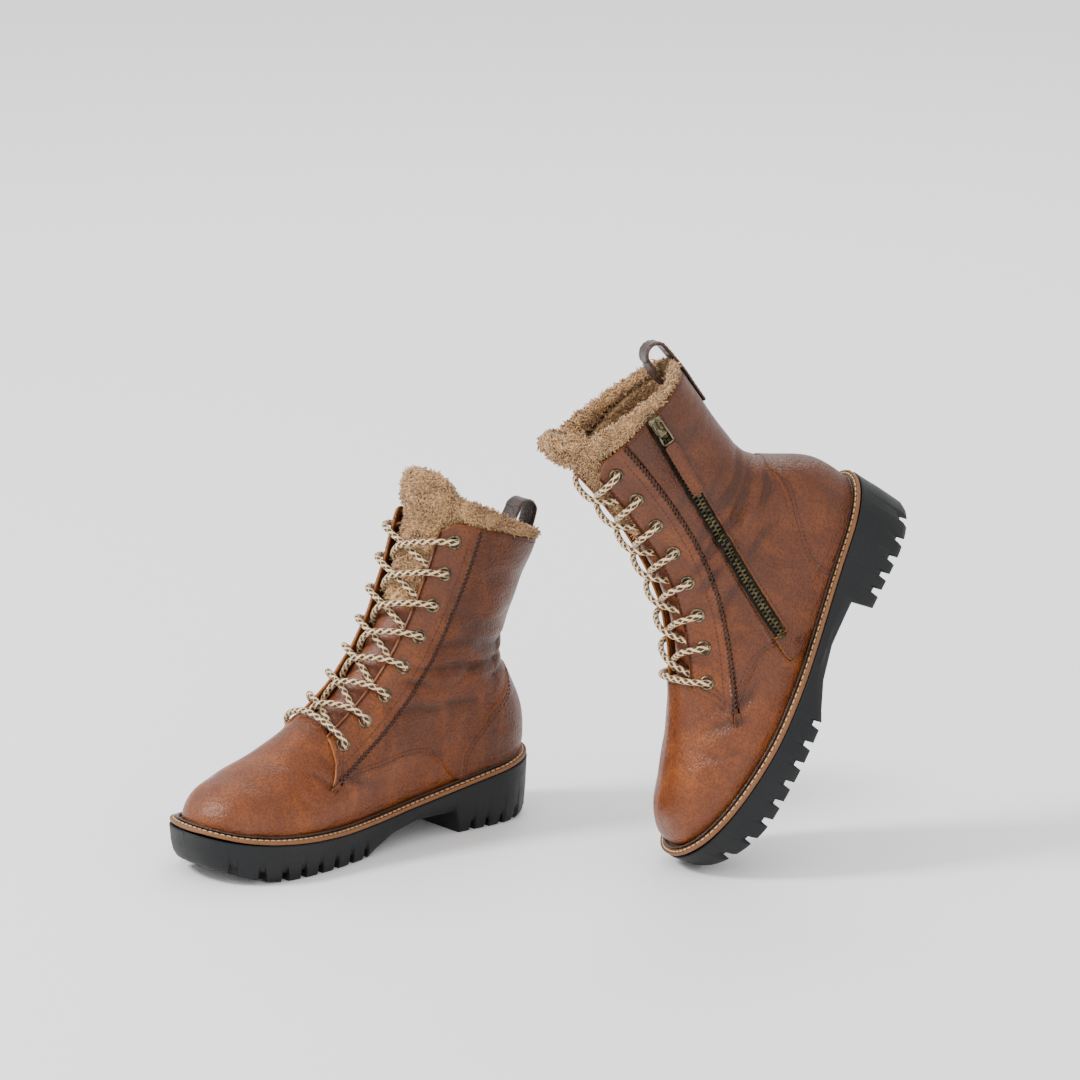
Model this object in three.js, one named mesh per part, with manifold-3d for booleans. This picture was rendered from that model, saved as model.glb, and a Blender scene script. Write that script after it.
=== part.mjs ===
// A pair of shearling-lined lace-up winter boots with a side zip and a lugged sole.
// Millimetres, +Z up, toes towards -Y. Each boot is drawn once, as the left one (outer side +X),
// and mirrored for the right. The right boot stands flat; the left one is up on its toe, in mid step.

import * as THREE from 'three';
import { mergeVertices } from 'three/addons/utils/BufferGeometryUtils.js';
import Module from 'manifold-3d';

const wasm = await Module();
wasm.setup();

// ---------------------------------------------------------------- driving dimensions

const UPPER_LENGTH = 273;      // toe tip to heel of the lasted upper
const UPPER_WIDTH = 91;        // across the ball of the lasted upper
const FACING_HEIGHT = 218;     // floor to the top corner of the facings
const WELT_LEDGE = 6.2;        // how far the welt and outsole stand out from the upper
const WELT_THICKNESS = 3;
const TOE_SPRING = 14;         // how far the toe end of the tread lifts off the floor
const LUG_DEPTH = 6;
const FOREFOOT_LUG_PITCH = 14.6;
const FOREFOOT_GROOVES = 8;
const HEEL_LUG_PITCH = 12.5;
const HEEL_GROOVES = 5;
const GROOVE_WIDTH = 4.4;
const HEEL_BREAST = 64;        // y of the front face of the heel
const ARCH_HEIGHT = 15.5;

const LEATHER = 1.7;           // thickness of the outer leather
const LAYER_GAP = 0.3;         // clearance between touching edges
const LAP_GAP = 0.9;           // clearance between curved layers that lap
const LINING = 4.5;            // sheared pile with its skin
const STIFFENER = 1.3;
const INSOLE_BOARD = 2;
const FOOTBED = 6;

const FACING_INSET = 9;        // facing edge, measured round from the middle line
const EYELET_INSET = 18.8;
const SEAM_INSET = 34;         // seam behind the eyelets
const EYELETS = 8;
const EYELET_FIRST = 4.33;     // lowest and highest eyelet, as stations of the top line
const EYELET_LAST = 10.95;
const EYELET_HOLE = 3;         // radii
const EYELET_BARREL = 3.6;
const EYELET_RIM = 5.2;
const EYELET_SIDES = 6;
const RIM_THICKNESS = 0.8;
const LACE_RADIUS = 1.8;

const ZIP_SLOT = 9.4;          // gap between the two quarters that the zip fills
const TEETH_WIDTH = 6.4;
const TAPE_WIDTH = 18;
const PULL_LENGTH = 40;
const PULL_WIDTH = 9;

const COLLAR = 11.5;           // top edge of the shaft, as a station of the top line
const LOOP_WIDTH = 16;
const LOOP_RISE = 24;          // heel loop above the collar
const LOOP_THICKNESS = 2.2;
const LOOP_STANDOFF = 0.5;

// How the left boot stands in mid step, in degrees and mm from the right boot's middle
const STEP = { pitch: 59.2, roll: -6.6, yaw: -20.4, x: 211, y: 222.5 };

// ---------------------------------------------------------------- the last

// The shape of the foot, drawn at the sample size and graded to the driving dimensions.
const SAMPLE = { length: 273, width: 91, height: 218 };
const grade = {
  x: UPPER_WIDTH / SAMPLE.width,
  y: UPPER_LENGTH / SAMPLE.length,
  z: FACING_HEIGHT / SAMPLE.height,
};

const TOE = -136.5 * grade.y;
const TOE_ROUND = 44 * grade.y;        // plan length of the toe's rounding
const TOE_CAP_ROUND = 26 * grade.y;    // side-view length of the toe's rounding

// Middle line of the top, toe to shin: station, y, z, tilt of the section plane, how far round
// the section takes to reach full width, and its half width up there
const TOP_LINE = [
  [0, -136.5, 57, 0, 40, 40],
  [1, -112, 63, 0, 40, 42],
  [2, -88, 71.5, 2, 46, 42],
  [3, -66, 80.5, 8, 54, 41],
  [4, -44, 92, 18, 60, 39],
  [5, -24, 104.5, 29, 60, 36.5],
  [6, -6, 119.5, 40, 56, 35],
  [7, 8, 135, 50, 53, 35],
  [8, 19, 151, 59, 51, 35.5],
  [9, 29, 170, 66, 50, 37],
  [10, 38, 191, 70, 50, 39],
  [11, 45, 210, 72, 50, 41],
  [12, 52, 232, 73, 50, 42],
  [13, 58, 254, 73, 50, 43],
].map(([station, y, z, tilt, reach, half]) => [
  station, y * grade.y, z * grade.z, THREE.MathUtils.degToRad(tilt), reach * grade.z, half * grade.x,
]);

// Height of the edge where the upper meets the welt
const FEATHER_LINE = [
  [-140, 38], [-120, 33], [-90, 28.5], [-60, 26], [-30, 25], [0, 26],
  [30, 29], [60, 33.5], [90, 38.5], [120, 43], [142, 46],
].map(([y, z]) => [y * grade.y, z * grade.z]);

// Half widths along that edge
const OUTER_HALF = [[-137, 36], [-112, 39], [-80, 45], [-48, 47], [-10, 42], [25, 36.5], [60, 33], [95, 32.5],
  [140, 32]].map(([y, x]) => [y * grade.y, x * grade.x]);
const INNER_HALF = [[-137, 38], [-112, 41], [-80, 44.5], [-50, 42.5], [-10, 34.5], [25, 29.5], [60, 30],
  [95, 32], [140, 32]].map(([y, x]) => [y * grade.y, x * grade.x]);

// Back of the heel and shaft: height, y
const BACK_LINE = [
  [40, 133], [50, 135.5], [62, 136.5], [74, 135.5], [86, 131.5], [98, 125.5], [110, 120], [118, 118.5],
  [126, 119.5], [140, 124], [155, 130.5], [170, 137.5], [185, 145], [200, 151], [235, 162],
].map(([z, y]) => [z * grade.z, y * grade.y]);

// Smooth curve through rows of [position, value, ...]
function through(rows, x) {
  const last = rows.length - 1;
  const at = THREE.MathUtils.clamp(x, rows[0][0], rows[last][0]);
  let i = 0;
  while (i < last - 1 && at >= rows[i + 1][0]) i += 1;
  const slope = (k, c) => {
    const a = rows[Math.max(k - 1, 0)];
    const b = rows[Math.min(k + 1, last)];
    return (b[c] - a[c]) / (b[0] - a[0]);
  };
  const span = rows[i + 1][0] - rows[i][0];
  const t = (at - rows[i][0]) / span;
  const h0 = (1 + 2 * t) * (1 - t) ** 2;
  const h1 = t * (1 - t) ** 2 * span;
  const h2 = t * t * (3 - 2 * t);
  const h3 = t * t * (t - 1) * span;
  return rows[i].slice(1).map((value, k) => {
    const c = k + 1;
    return h0 * value + h1 * slope(i, c) + h2 * rows[i + 1][c] + h3 * slope(i + 1, c);
  });
}

const feather = (y) => through(FEATHER_LINE, y)[0];
const back = (z) => through(BACK_LINE, z)[0];
const clamp01 = (q) => THREE.MathUtils.clamp(q, 0, 1);
const rounding = (q, power) => (1 - (1 - clamp01(q)) ** power) ** (1 / power);

// Station of the top line: its point, section direction, reach and half width
function station(p) {
  const [y, height, tilt, reach, half] = through(TOP_LINE, p);
  const edge = feather(y);
  const z = edge + (height - edge) * rounding((y - TOE) / TOE_CAP_ROUND, 2.3);
  const full = p < 3 ? Math.min(reach, Math.max(z - edge, 4)) : reach;
  return { y, z, tilt, half, reach: full };
}

// Side-view point at a distance round from the top line, in a station's section plane
function fan(p, inset) {
  const s = station(p);
  return [s.y + inset * Math.sin(s.tilt), s.z - inset * Math.cos(s.tilt)];
}

// Which section plane a side-view point lies in, and how far down it
function locate(y, z) {
  let low = 0;
  let high = 13;
  let s = station(0);
  for (let i = 0; i < 26; i += 1) {
    const p = (low + high) / 2;
    s = station(p);
    if ((y - s.y) * Math.cos(s.tilt) + (z - s.z) * Math.sin(s.tilt) > 0) low = p;
    else high = p;
  }
  return { ...s, inset: (y - s.y) * Math.sin(s.tilt) - (z - s.z) * Math.cos(s.tilt) };
}

// Point of the boot's skin seen at (y, z) from one side (+1 outer, -1 inner), a depth below
// the leather's outer face; a negative depth stands proud of it
function skin(y, z, side, depth = 0) {
  const s = locate(y, z);
  const q = clamp01(s.inset / s.reach);
  const backReach = (36 + 14 * THREE.MathUtils.smoothstep(z, 80 * grade.z, 140 * grade.z)) * grade.y;
  const b = clamp01((back(z) - y) / backReach);
  const t = clamp01((y - TOE) / TOE_ROUND);
  const low = through(side > 0 ? OUTER_HALF : INNER_HALF, y)[0];
  const above = z - feather(y);
  const blend = THREE.MathUtils.smoothstep(above, 12 * grade.z, 62 * grade.z);
  const swell = 1 + 0.05 * Math.sin(Math.PI * clamp01(above / (45 * grade.z)));
  const half = ((low + (s.half - low) * blend) * swell - depth)
    * rounding(q, 2.05) * rounding(b, 2.15) * rounding(t, 2.3);
  const push = depth * (1 - q) * rounding((y - TOE) / TOE_CAP_ROUND, 2.3);
  return new THREE.Vector3(
    side * half,
    y + push * Math.sin(s.tilt) - depth * (1 - b) + depth * (1 - t),
    z - push * Math.cos(s.tilt),
  );
}

// Outward normal of the skin
function normalAt(y, z, side) {
  const step = 0.6;
  const along = skin(y + step, z, side).sub(skin(y - step, z, side));
  const up = skin(y, z + step, side).sub(skin(y, z - step, side));
  return along.cross(up).normalize().multiplyScalar(side);
}

// ---------------------------------------------------------------- solids

function closedGeometry(points, faces) {
  const geometry = new THREE.BufferGeometry();
  const values = points.flatMap((v) => [v.x, v.y, v.z]);
  geometry.setAttribute('position', new THREE.Float32BufferAttribute(values, 3));
  geometry.setIndex(faces.flat());
  return facingOut(mergeVertices(geometry, 1e-4));
}

// Drops faces that have closed up to a line, and turns the faces out
function facingOut(geometry) {
  const position = geometry.getAttribute('position');
  const old = geometry.getIndex().array;
  const index = [];
  const [a, b, c] = [new THREE.Vector3(), new THREE.Vector3(), new THREE.Vector3()];
  let volume = 0;
  for (let i = 0; i < old.length; i += 3) {
    const [i0, i1, i2] = [old[i], old[i + 1], old[i + 2]];
    if (i0 === i1 || i1 === i2 || i0 === i2) continue;
    index.push(i0, i1, i2);
    a.fromBufferAttribute(position, i0);
    b.fromBufferAttribute(position, i1);
    c.fromBufferAttribute(position, i2);
    volume += a.dot(b.cross(c));
  }
  if (volume < 0) {
    for (let i = 0; i < index.length; i += 3) [index[i], index[i + 1]] = [index[i + 1], index[i]];
  }
  geometry.setIndex(index);
  return geometry;
}

// Thick sheet between two grids of points, rows by columns
function slab(outer, inner) {
  const rows = outer.length;
  const columns = outer[0].length;
  const points = [...outer.flat(), ...inner.flat()];
  const size = rows * columns;
  const faces = [];
  const quad = (a, b, c, d) => faces.push([a, b, c], [a, c, d]);
  for (let r = 0; r + 1 < rows; r += 1) {
    for (let k = 0; k + 1 < columns; k += 1) {
      const a = r * columns + k;
      quad(a, a + 1, a + columns + 1, a + columns);
      quad(size + a, size + a + columns, size + a + columns + 1, size + a + 1);
    }
  }
  const rim = [];
  for (let k = 0; k + 1 < columns; k += 1) rim.push(k);
  for (let r = 0; r + 1 < rows; r += 1) rim.push(r * columns + columns - 1);
  for (let k = columns - 1; k > 0; k -= 1) rim.push((rows - 1) * columns + k);
  for (let r = rows - 1; r > 0; r -= 1) rim.push(r * columns);
  rim.forEach((from, i) => {
    const to = rim[(i + 1) % rim.length];
    quad(from, size + from, size + to, to);
  });
  return closedGeometry(points, faces);
}

// Sheet over a grid of skin places [y, z, side]
function sheet(grid, depth, thickness) {
  const layer = (d) => grid.map((row) => row.map(([y, z, side]) => skin(y, z, side, d)));
  return slab(layer(depth), layer(depth + thickness));
}

const lerp = THREE.MathUtils.lerp;
const steps = (count) => Array.from({ length: count + 1 }, (_, i) => i / count);

// Straight lines through side-view points, in equal steps from point to point
function chain(points) {
  return (t) => {
    const at = clamp01(t) * (points.length - 1);
    const i = Math.min(Math.floor(at), points.length - 2);
    return [0, 1].map((axis) => lerp(points[i][axis], points[i + 1][axis], at - i));
  };
}

// Four-sided side-view patch between its edge curves
function patch({ bottom, top, left, right }, rows, columns, side) {
  return steps(rows).map((v) => steps(columns).map((u) => {
    const point = [0, 1].map((axis) => (1 - v) * bottom(u)[axis] + v * top(u)[axis]
      + (1 - u) * left(v)[axis] + u * right(v)[axis]
      - (1 - u) * ((1 - v) * bottom(0)[axis] + v * top(0)[axis])
      - u * ((1 - v) * bottom(1)[axis] + v * top(1)[axis]));
    return [point[0], point[1], side];
  }));
}

function manifoldOf(geometry) {
  const bare = new THREE.BufferGeometry();
  bare.setAttribute('position', geometry.getAttribute('position').clone());
  if (geometry.getIndex()) bare.setIndex(geometry.getIndex().clone());
  const merged = facingOut(mergeVertices(bare, 1e-4));
  return new wasm.Manifold(new wasm.Mesh({
    numProp: 3,
    vertProperties: new Float32Array(merged.getAttribute('position').array),
    triVerts: new Uint32Array(merged.getIndex().array),
  }));
}

function geometryOf(solid) {
  const mesh = solid.getMesh();
  const geometry = new THREE.BufferGeometry();
  geometry.setAttribute('position', new THREE.BufferAttribute(Float32Array.from(mesh.vertProperties), 3));
  geometry.setIndex(new THREE.BufferAttribute(Uint32Array.from(mesh.triVerts), 1));
  return geometry;
}

const SIMPLER = 0.02;
const simpler = (solid) => geometryOf(solid.simplify(SIMPLER));
const joined = (solids) => simpler(solids.slice(1).reduce((whole, s) => whole.add(s), solids[0]));
const cut = (body, tools) => simpler(tools.reduce((rest, tool) => rest.subtract(tool), body));

// Cylinder along a direction, from one point to another
function rod(from, to, radius, sides) {
  const axis = to.clone().sub(from);
  const geometry = new THREE.CylinderGeometry(radius, radius, axis.length(), sides);
  const up = new THREE.Vector3(0, 1, 0);
  geometry.applyQuaternion(new THREE.Quaternion().setFromUnitVectors(up, axis.clone().normalize()));
  geometry.translate(...from.clone().add(to).multiplyScalar(0.5).toArray());
  return manifoldOf(geometry);
}

// ---------------------------------------------------------------- bottom unit

const HEEL = through(BACK_LINE, 46 * grade.z)[0];

// Stations along the foot, close together at the round ends
const lengthwise = (count) => steps(count).map((t) => {
  const y = (TOE + HEEL) / 2 - ((HEEL - TOE) / 2) * Math.cos(Math.PI * t);
  return THREE.MathUtils.clamp(y, TOE + 0.001, HEEL - 0.001);
});

const edgePoint = (y, side, depth) => skin(y, feather(y), side, depth);

// Solid of the footprint at a depth in from the upper's edge, between two surfaces over y
function footprintSolid(depth, topAt, bottomAt, count, levels = [[0, 0], [1, 0]]) {
  const rings = lengthwise(count).map((y) => {
    const outer = edgePoint(y, 1, depth);
    const inner = edgePoint(y, -1, depth);
    const ring = (edge) => levels.map(([share, tuck]) => {
      const ends = Math.abs(Math.cos((Math.PI * (y - TOE)) / (HEEL - TOE))) ** 8;
      const place = edge.y + Math.sign(-y) * tuck * ends;
      const x = Math.sign(edge.x) * Math.max(Math.abs(edge.x) - tuck, 0);
      return new THREE.Vector3(x, place, lerp(topAt(edge.y), bottomAt(edge.y), share));
    });
    return [...ring(outer), ...ring(inner).reverse()];
  });
  const size = rings[0].length;
  const faces = [];
  const quad = (a, b, c, d) => faces.push([a, b, c], [a, c, d]);
  for (let r = 0; r + 1 < rings.length; r += 1) {
    for (let k = 0; k < size; k += 1) {
      const a = r * size + k;
      const b = r * size + ((k + 1) % size);
      quad(a, b, b + size, a + size);
    }
  }
  const cap = (start) => {
    for (let k = 0; k < size / 2 - 1; k += 1) {
      quad(start + k, start + k + 1, start + size - 2 - k, start + size - 1 - k);
    }
  };
  const first = faces.length;
  cap(0);
  for (let i = first; i < faces.length; i += 1) faces[i].reverse();
  cap((rings.length - 1) * size);
  return closedGeometry(rings.flat(), faces);
}

const SOLE_SEAT = 0.6;         // bond line between the welt and the outsole

const tread = (y) => TOE_SPRING * clamp01((-90 * grade.y - y) / (52 * grade.y)) ** 1.8;

// Prism across the boot from a side-view outline
function crossPrism(outline, halfWidth) {
  const shape = new THREE.Shape(outline.map(([y, z]) => new THREE.Vector2(y, z)));
  const geometry = new THREE.ExtrudeGeometry(shape, { depth: halfWidth * 2, bevelEnabled: false });
  geometry.applyMatrix4(new THREE.Matrix4().set(0, 0, 1, -halfWidth, 1, 0, 0, 0, 0, 1, 0, 0, 0, 0, 0, 1));
  return manifoldOf(geometry);
}

const SHANK = { width: 14, thickness: 1.2, from: -28 * grade.y, to: 62 * grade.y };

function shankSolid(clearance) {
  const half = SHANK.width / 2 + clearance;
  const grid = (lift) => steps(5).map((t) => {
    const y = lerp(SHANK.from - clearance, SHANK.to + clearance, t);
    const z = feather(y) - WELT_THICKNESS - SOLE_SEAT + lift;
    return [new THREE.Vector3(half, y, z), new THREE.Vector3(-half, y, z)];
  });
  const topLift = clearance > 0 ? 2 : -0.1;
  return slab(grid(topLift), grid(-SHANK.thickness - 0.1 - clearance));
}

function outsole() {
  const body = footprintSolid(
    -WELT_LEDGE,
    (y) => feather(y) - WELT_THICKNESS - SOLE_SEAT,
    tread,
    26,
    [[0, 0], [0.72, 0.2], [1, 2.4]],
  );
  const wide = UPPER_WIDTH;
  const arch = [
    [HEEL_BREAST, -1], [HEEL_BREAST - 3, ARCH_HEIGHT], [30, ARCH_HEIGHT], [6, ARCH_HEIGHT - 4.5],
    [-12, 4], [-20, -1],
  ].map(([y, z]) => [y * grade.y, z]);
  const groove = (y) => [
    [y - GROOVE_WIDTH / 2 - 1, tread(y) - 3], [y + GROOVE_WIDTH / 2 + 1, tread(y) - 3],
    [y + GROOVE_WIDTH / 2 - 0.6, tread(y) + LUG_DEPTH], [y - GROOVE_WIDTH / 2 + 0.6, tread(y) + LUG_DEPTH],
  ];
  const tools = [crossPrism(arch, wide), manifoldOf(shankSolid(LAYER_GAP))];
  for (let i = 0; i < FOREFOOT_GROOVES; i += 1) {
    tools.push(crossPrism(groove(-22 * grade.y - i * FOREFOOT_LUG_PITCH), wide));
  }
  for (let i = 0; i < HEEL_GROOVES; i += 1) {
    tools.push(crossPrism(groove(HEEL_BREAST * grade.y + (i + 0.9) * HEEL_LUG_PITCH), wide));
  }
  return cut(manifoldOf(body), tools);
}

const WELT_INNER = 3.4;

function welt() {
  const lanes = lengthwise(24);
  const loop = (depth) => [
    ...lanes.map((y) => edgePoint(y, 1, depth)),
    ...lanes.slice(1, -1).reverse().map((y) => edgePoint(y, -1, depth)),
  ];
  const outer = loop(-WELT_LEDGE + 0.5);
  const inner = loop(WELT_INNER);
  const ring = outer.map((edge, i) => {
    const inside = inner[i];
    const at = (v, drop) => new THREE.Vector3(v.x, v.y, feather(v.y) - drop);
    return [at(edge, 0.3), at(edge, WELT_THICKNESS), at(inside, WELT_THICKNESS), at(inside, 0.3)];
  });
  const faces = [];
  ring.forEach((_, r) => {
    const next = (r + 1) % ring.length;
    for (let k = 0; k < 4; k += 1) {
      const [a, b] = [r * 4 + k, r * 4 + ((k + 1) % 4)];
      const [c, d] = [next * 4 + ((k + 1) % 4), next * 4 + k];
      faces.push([a, b, c], [a, c, d]);
    }
  });
  return closedGeometry(ring.flat(), faces);
}

const corkFiller = () => footprintSolid(
  WELT_INNER + LAP_GAP, (y) => feather(y) - LAP_GAP, (y) => feather(y) - WELT_THICKNESS, 16,
);

const VAMP_DEPTH = LEATHER + LAP_GAP;
const LINING_DEPTH = VAMP_DEPTH + LEATHER + LAYER_GAP * 2 + STIFFENER;
const INSIDE = LINING_DEPTH + LINING + LAP_GAP;

const insoleBoard = () => footprintSolid(
  INSIDE + 1.4, (y) => feather(y) + INSOLE_BOARD, (y) => feather(y) - 0.4, 16,
);

const footbed = () => footprintSolid(
  INSIDE + 1.4, (y) => feather(y) + INSOLE_BOARD + LAYER_GAP + FOOTBED,
  (y) => feather(y) + INSOLE_BOARD + LAYER_GAP, 16,
);

// ---------------------------------------------------------------- leather upper

const EDGE = 1;                                      // upper's lower edge above the welt
const throat = (inset) => 4.12 - (0.4 * (inset - FACING_INSET)) / 27;
const cornered = (inset) => COLLAR - 0.5 * clamp01(1 - (inset - FACING_INSET) / 13) ** 2;
// Rows of the facing, from its lower edge to the collar: the second and last but one bound the eyelets
const ROWS = [0, 0.03, 0.15, 0.28, 0.42, 0.57, 0.72, 0.86, 0.975, 1];
const collarEdge = (from, to) => (u) => {
  const [y0, z0] = fan(COLLAR, from);
  const [y1, z1] = to;
  return [lerp(y0, y1, u), lerp(z0, z1, u)];
};
const backPoint = (z) => [back(z) - 0.05, z];
const graded = (points) => points.map(([y, z]) => [y * grade.y, z * grade.z]);

// Where the collar meets the back
const COLLAR_BACK = (() => {
  let inset = 60 * grade.y;
  while (fan(COLLAR, inset)[0] < back(fan(COLLAR, inset)[1]) - 0.05) inset += 0.05;
  return fan(COLLAR, inset);
})();

// Lower edge of the quarters over the vamp, and the seam of the heel counter
const WING = graded([[-29, 57.5], [-5, 58], [20, 61], [38, 59], [52, 51], [60, 40]]);
const COUNTER_SEAM = graded([[67, 41], [70, 56], [79, 68], [92, 81], [106, 94], [117.5, 108]]);

// Upper edge of the vamp: across the throat, down under the flap, then back under the quarter
const acrossThroat = [0, FACING_INSET, 20, 30, 37].map((inset) => fan(throat(inset) + 0.08, inset));
const INNER_VAMP_TOP = [
  ...acrossThroat, ...graded([[-26, 63], [-2, 65], [20, 68], [42, 65], [56, 56], [63, 43]]),
];
const OUTER_VAMP_TOP = [...acrossThroat, ...graded([[-26, 63], [-7, 62], [5, 53], [17, 41]])];
const INNER_VAMP_REAR = 62;
const OUTER_VAMP_REAR = 20;

// Grid over the toes: meridians from the lower edge up to an upper edge that crosses the middle
function toeGrid(outerTop, innerTop, outerRear, innerRear, columns, rows) {
  const meridian = (side, u) => {
    const rear = (side > 0 ? outerRear : innerRear) * grade.y;
    const yLow = lerp(TOE, rear, u ** 1.7);
    const low = locate(yLow, feather(yLow) + EDGE);
    const high = locate(...chain(side > 0 ? outerTop : innerTop)(u));
    const rootLow = u === 0 ? 0 : Math.sqrt(Math.max(low.inset, 0));
    const rootHigh = u === 0 ? 0 : Math.sqrt(Math.max(high.inset, 0));
    const stationOf = (point) => stationNear(point.y);
    return steps(rows).map((v) => {
      const p = lerp(stationOf(low), stationOf(high), v ** lerp(1.7, 1, Math.min(u * 2, 1)));
      const [y, z] = fan(p, lerp(rootLow, rootHigh, v) ** 2);
      return [y, Math.max(z, feather(y) + EDGE), side];
    });
  };
  const lanes = steps(columns);
  return [
    ...lanes.slice().reverse().map((u) => meridian(1, u)),
    ...lanes.slice(1).map((u) => meridian(-1, u)),
  ];
}

// Station whose top point has this y
function stationNear(y) {
  let low = 0;
  let high = 13;
  for (let i = 0; i < 26; i += 1) {
    const p = (low + high) / 2;
    if (station(p).y < y) low = p;
    else high = p;
  }
  return (low + high) / 2;
}

const VAMP_GRID = toeGrid(OUTER_VAMP_TOP, INNER_VAMP_TOP, OUTER_VAMP_REAR, INNER_VAMP_REAR, 10, 6);
const vamp = () => sheet(VAMP_GRID, VAMP_DEPTH, LEATHER);

// Part of the vamp's grid: so many meridians each side of the toe, and rows up from the edge
const underVamp = (outer, inner, rows) => (
  VAMP_GRID.slice(10 - outer, 11 + inner).map((meridian) => meridian.slice(0, rows))
);

const toePuff = () => sheet(underVamp(4, 4, 4), VAMP_DEPTH + LEATHER + LAYER_GAP, STIFFENER);
const vampLining = () => sheet(underVamp(6, 5, 6), LINING_DEPTH, LINING - 1.5);

const SEAM_GAP = 0.6;          // how far a butted edge keeps clear of its neighbour, in side view
const overSeam = ([y, z]) => [y - SEAM_GAP, z + SEAM_GAP];
const BACK_START = 109.2 * grade.z;
const quarterBack = (t) => backPoint(lerp(BACK_START, COLLAR_BACK[1], t));
const quarterFront = (v) => fan(lerp(throat(SEAM_INSET), COLLAR, ROWS[Math.round(v * (ROWS.length - 1))]),
  SEAM_INSET + SEAM_GAP);

const innerQuarter = () => sheet(patch({
  bottom: chain([quarterFront(0), ...WING.slice(1, 5), ...COUNTER_SEAM.slice(1).map(overSeam),
    backPoint(BACK_START)]),
  top: collarEdge(SEAM_INSET + SEAM_GAP, COLLAR_BACK),
  left: quarterFront,
  right: quarterBack,
}, ROWS.length - 1, 10, -1), 0, LEATHER);

const ZIP_FOOT = graded([[20, 51]])[0];
const ZIP_HEAD = graded([[106, 203]])[0];
const zipRun = Math.hypot(ZIP_HEAD[0] - ZIP_FOOT[0], ZIP_HEAD[1] - ZIP_FOOT[1]);
const zipWay = [(ZIP_HEAD[0] - ZIP_FOOT[0]) / zipRun, (ZIP_HEAD[1] - ZIP_FOOT[1]) / zipRun];

// Side-view point a distance up the zip from its foot and across towards the heel
const zipPoint = (up, across) => [
  ZIP_FOOT[0] + zipWay[0] * up + zipWay[1] * across,
  ZIP_FOOT[1] + zipWay[1] * up - zipWay[0] * across,
];

// Where a line beside the zip meets the collar
function zipTopAt(across) {
  let up = zipRun - 30;
  const gap = (u) => {
    const [y, z] = zipPoint(u, across);
    const spot = locate(y, z);
    return fan(COLLAR, spot.inset)[1] - z;
  };
  while (gap(up) > 0.1 && up < zipRun + 30) up += 0.1;
  return up;
}

const zipSide = (across, foot) => {
  const reach = zipTopAt(across);
  return (t) => zipPoint(lerp(foot, reach, t), across);
};

const outerFrontQuarter = () => {
  const right = zipSide(-ZIP_SLOT / 2, -4);
  return sheet(patch({
    bottom: chain([quarterFront(0), WING[1], right(0)]),
    top: collarEdge(SEAM_INSET + SEAM_GAP, right(1)),
    left: quarterFront,
    right,
  }, ROWS.length - 1, 2, 1), 0, LEATHER);
};

// The rear quarter runs from the zip back to the counter's seam, then up the back
const REAR_SEAM = [
  [66 * grade.y - SEAM_GAP, feather(66 * grade.y) + EDGE], ...COUNTER_SEAM.slice(1).map(overSeam),
  ...[0, 0.18, 0.4, 0.68, 1].map(quarterBack),
];
const REAR_SHARES = [0, 0.07, 0.14, 0.22, 0.31, 0.41, 0.48, 0.58, 0.7, 0.85, 1];

const outerRearQuarter = () => {
  const left = zipSide(ZIP_SLOT / 2, -9);
  return sheet(REAR_SEAM.map((end, r) => {
    const start = left(REAR_SHARES[r]);
    return steps(6).map((u) => {
      const eased = lerp(u, Math.sin((Math.PI / 2) * u), clamp01(r / 5));
      const [y, z] = [lerp(start[0], end[0], eased), lerp(start[1], end[1], eased)];
      const low = start[1] - 0.75 * (y - start[0]);
      return r === 0 ? [y, Math.max(feather(y) + EDGE, low), 1] : [y, z, 1];
    });
  }), 0, LEATHER);
};

// Band round the heel between a front line, given low to high, and the same line on the other side
function heelBand(front, columns, rows) {
  const path = chain(front);
  const topZ = front[front.length - 1][1];
  const backFoot = feather(HEEL) + EDGE;
  const row = (v, side) => steps(columns).map((u) => {
    const [y, z] = path(v);
    const zBack = lerp(backFoot, topZ, v);
    const eased = Math.sin((Math.PI / 2) * u);
    const zHere = v === 0 ? feather(lerp(y, HEEL, eased)) + EDGE : lerp(z, zBack, eased);
    return [lerp(y, back(zHere) - 0.02, eased), zHere, side];
  });
  return steps(rows).map((v) => [...row(v, 1), ...row(v, -1).reverse().slice(1)]);
}

const heelCounter = () => sheet(heelBand(COUNTER_SEAM, 5, 5), 0, LEATHER);

const heelStiffener = () => sheet(
  heelBand(graded([[80, 38], [86, 56], [98, 74], [112, 90]]), 4, 3), VAMP_DEPTH + LAYER_GAP * 2, STIFFENER,
);

const STRIP_HALF = 6;
const facingGrid = (side, rows, insets) => rows.map((v) => insets.map((inset) => (
  [...fan(lerp(throat(inset), cornered(inset), v), inset), side]
)));
const STRIP_INSETS = [EYELET_INSET - STRIP_HALF, EYELET_INSET + STRIP_HALF];

// Eyelets evenly spaced along their line
const EYELET_STATIONS = (() => {
  const samples = steps(200).map((t) => lerp(EYELET_FIRST, EYELET_LAST, t));
  const places = samples.map((p) => fan(p, EYELET_INSET));
  const run = [0];
  places.slice(1).forEach(([y, z], i) => run.push(run[i] + Math.hypot(y - places[i][0], z - places[i][1])));
  return Array.from({ length: EYELETS }, (_, k) => {
    const want = (run[200] * k) / (EYELETS - 1);
    return samples[run.findIndex((r) => r >= want - 1e-6)];
  });
})();

function eyeletAxis(p, side) {
  const [y, z] = fan(p, EYELET_INSET);
  return { at: skin(y, z, side), normal: normalAt(y, z, side) };
}

function alongAxis(axis, high, low, radius, sides) {
  const point = (lift) => axis.at.clone().addScaledVector(axis.normal, lift);
  return rod(point(low), point(high), radius, sides);
}

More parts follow.
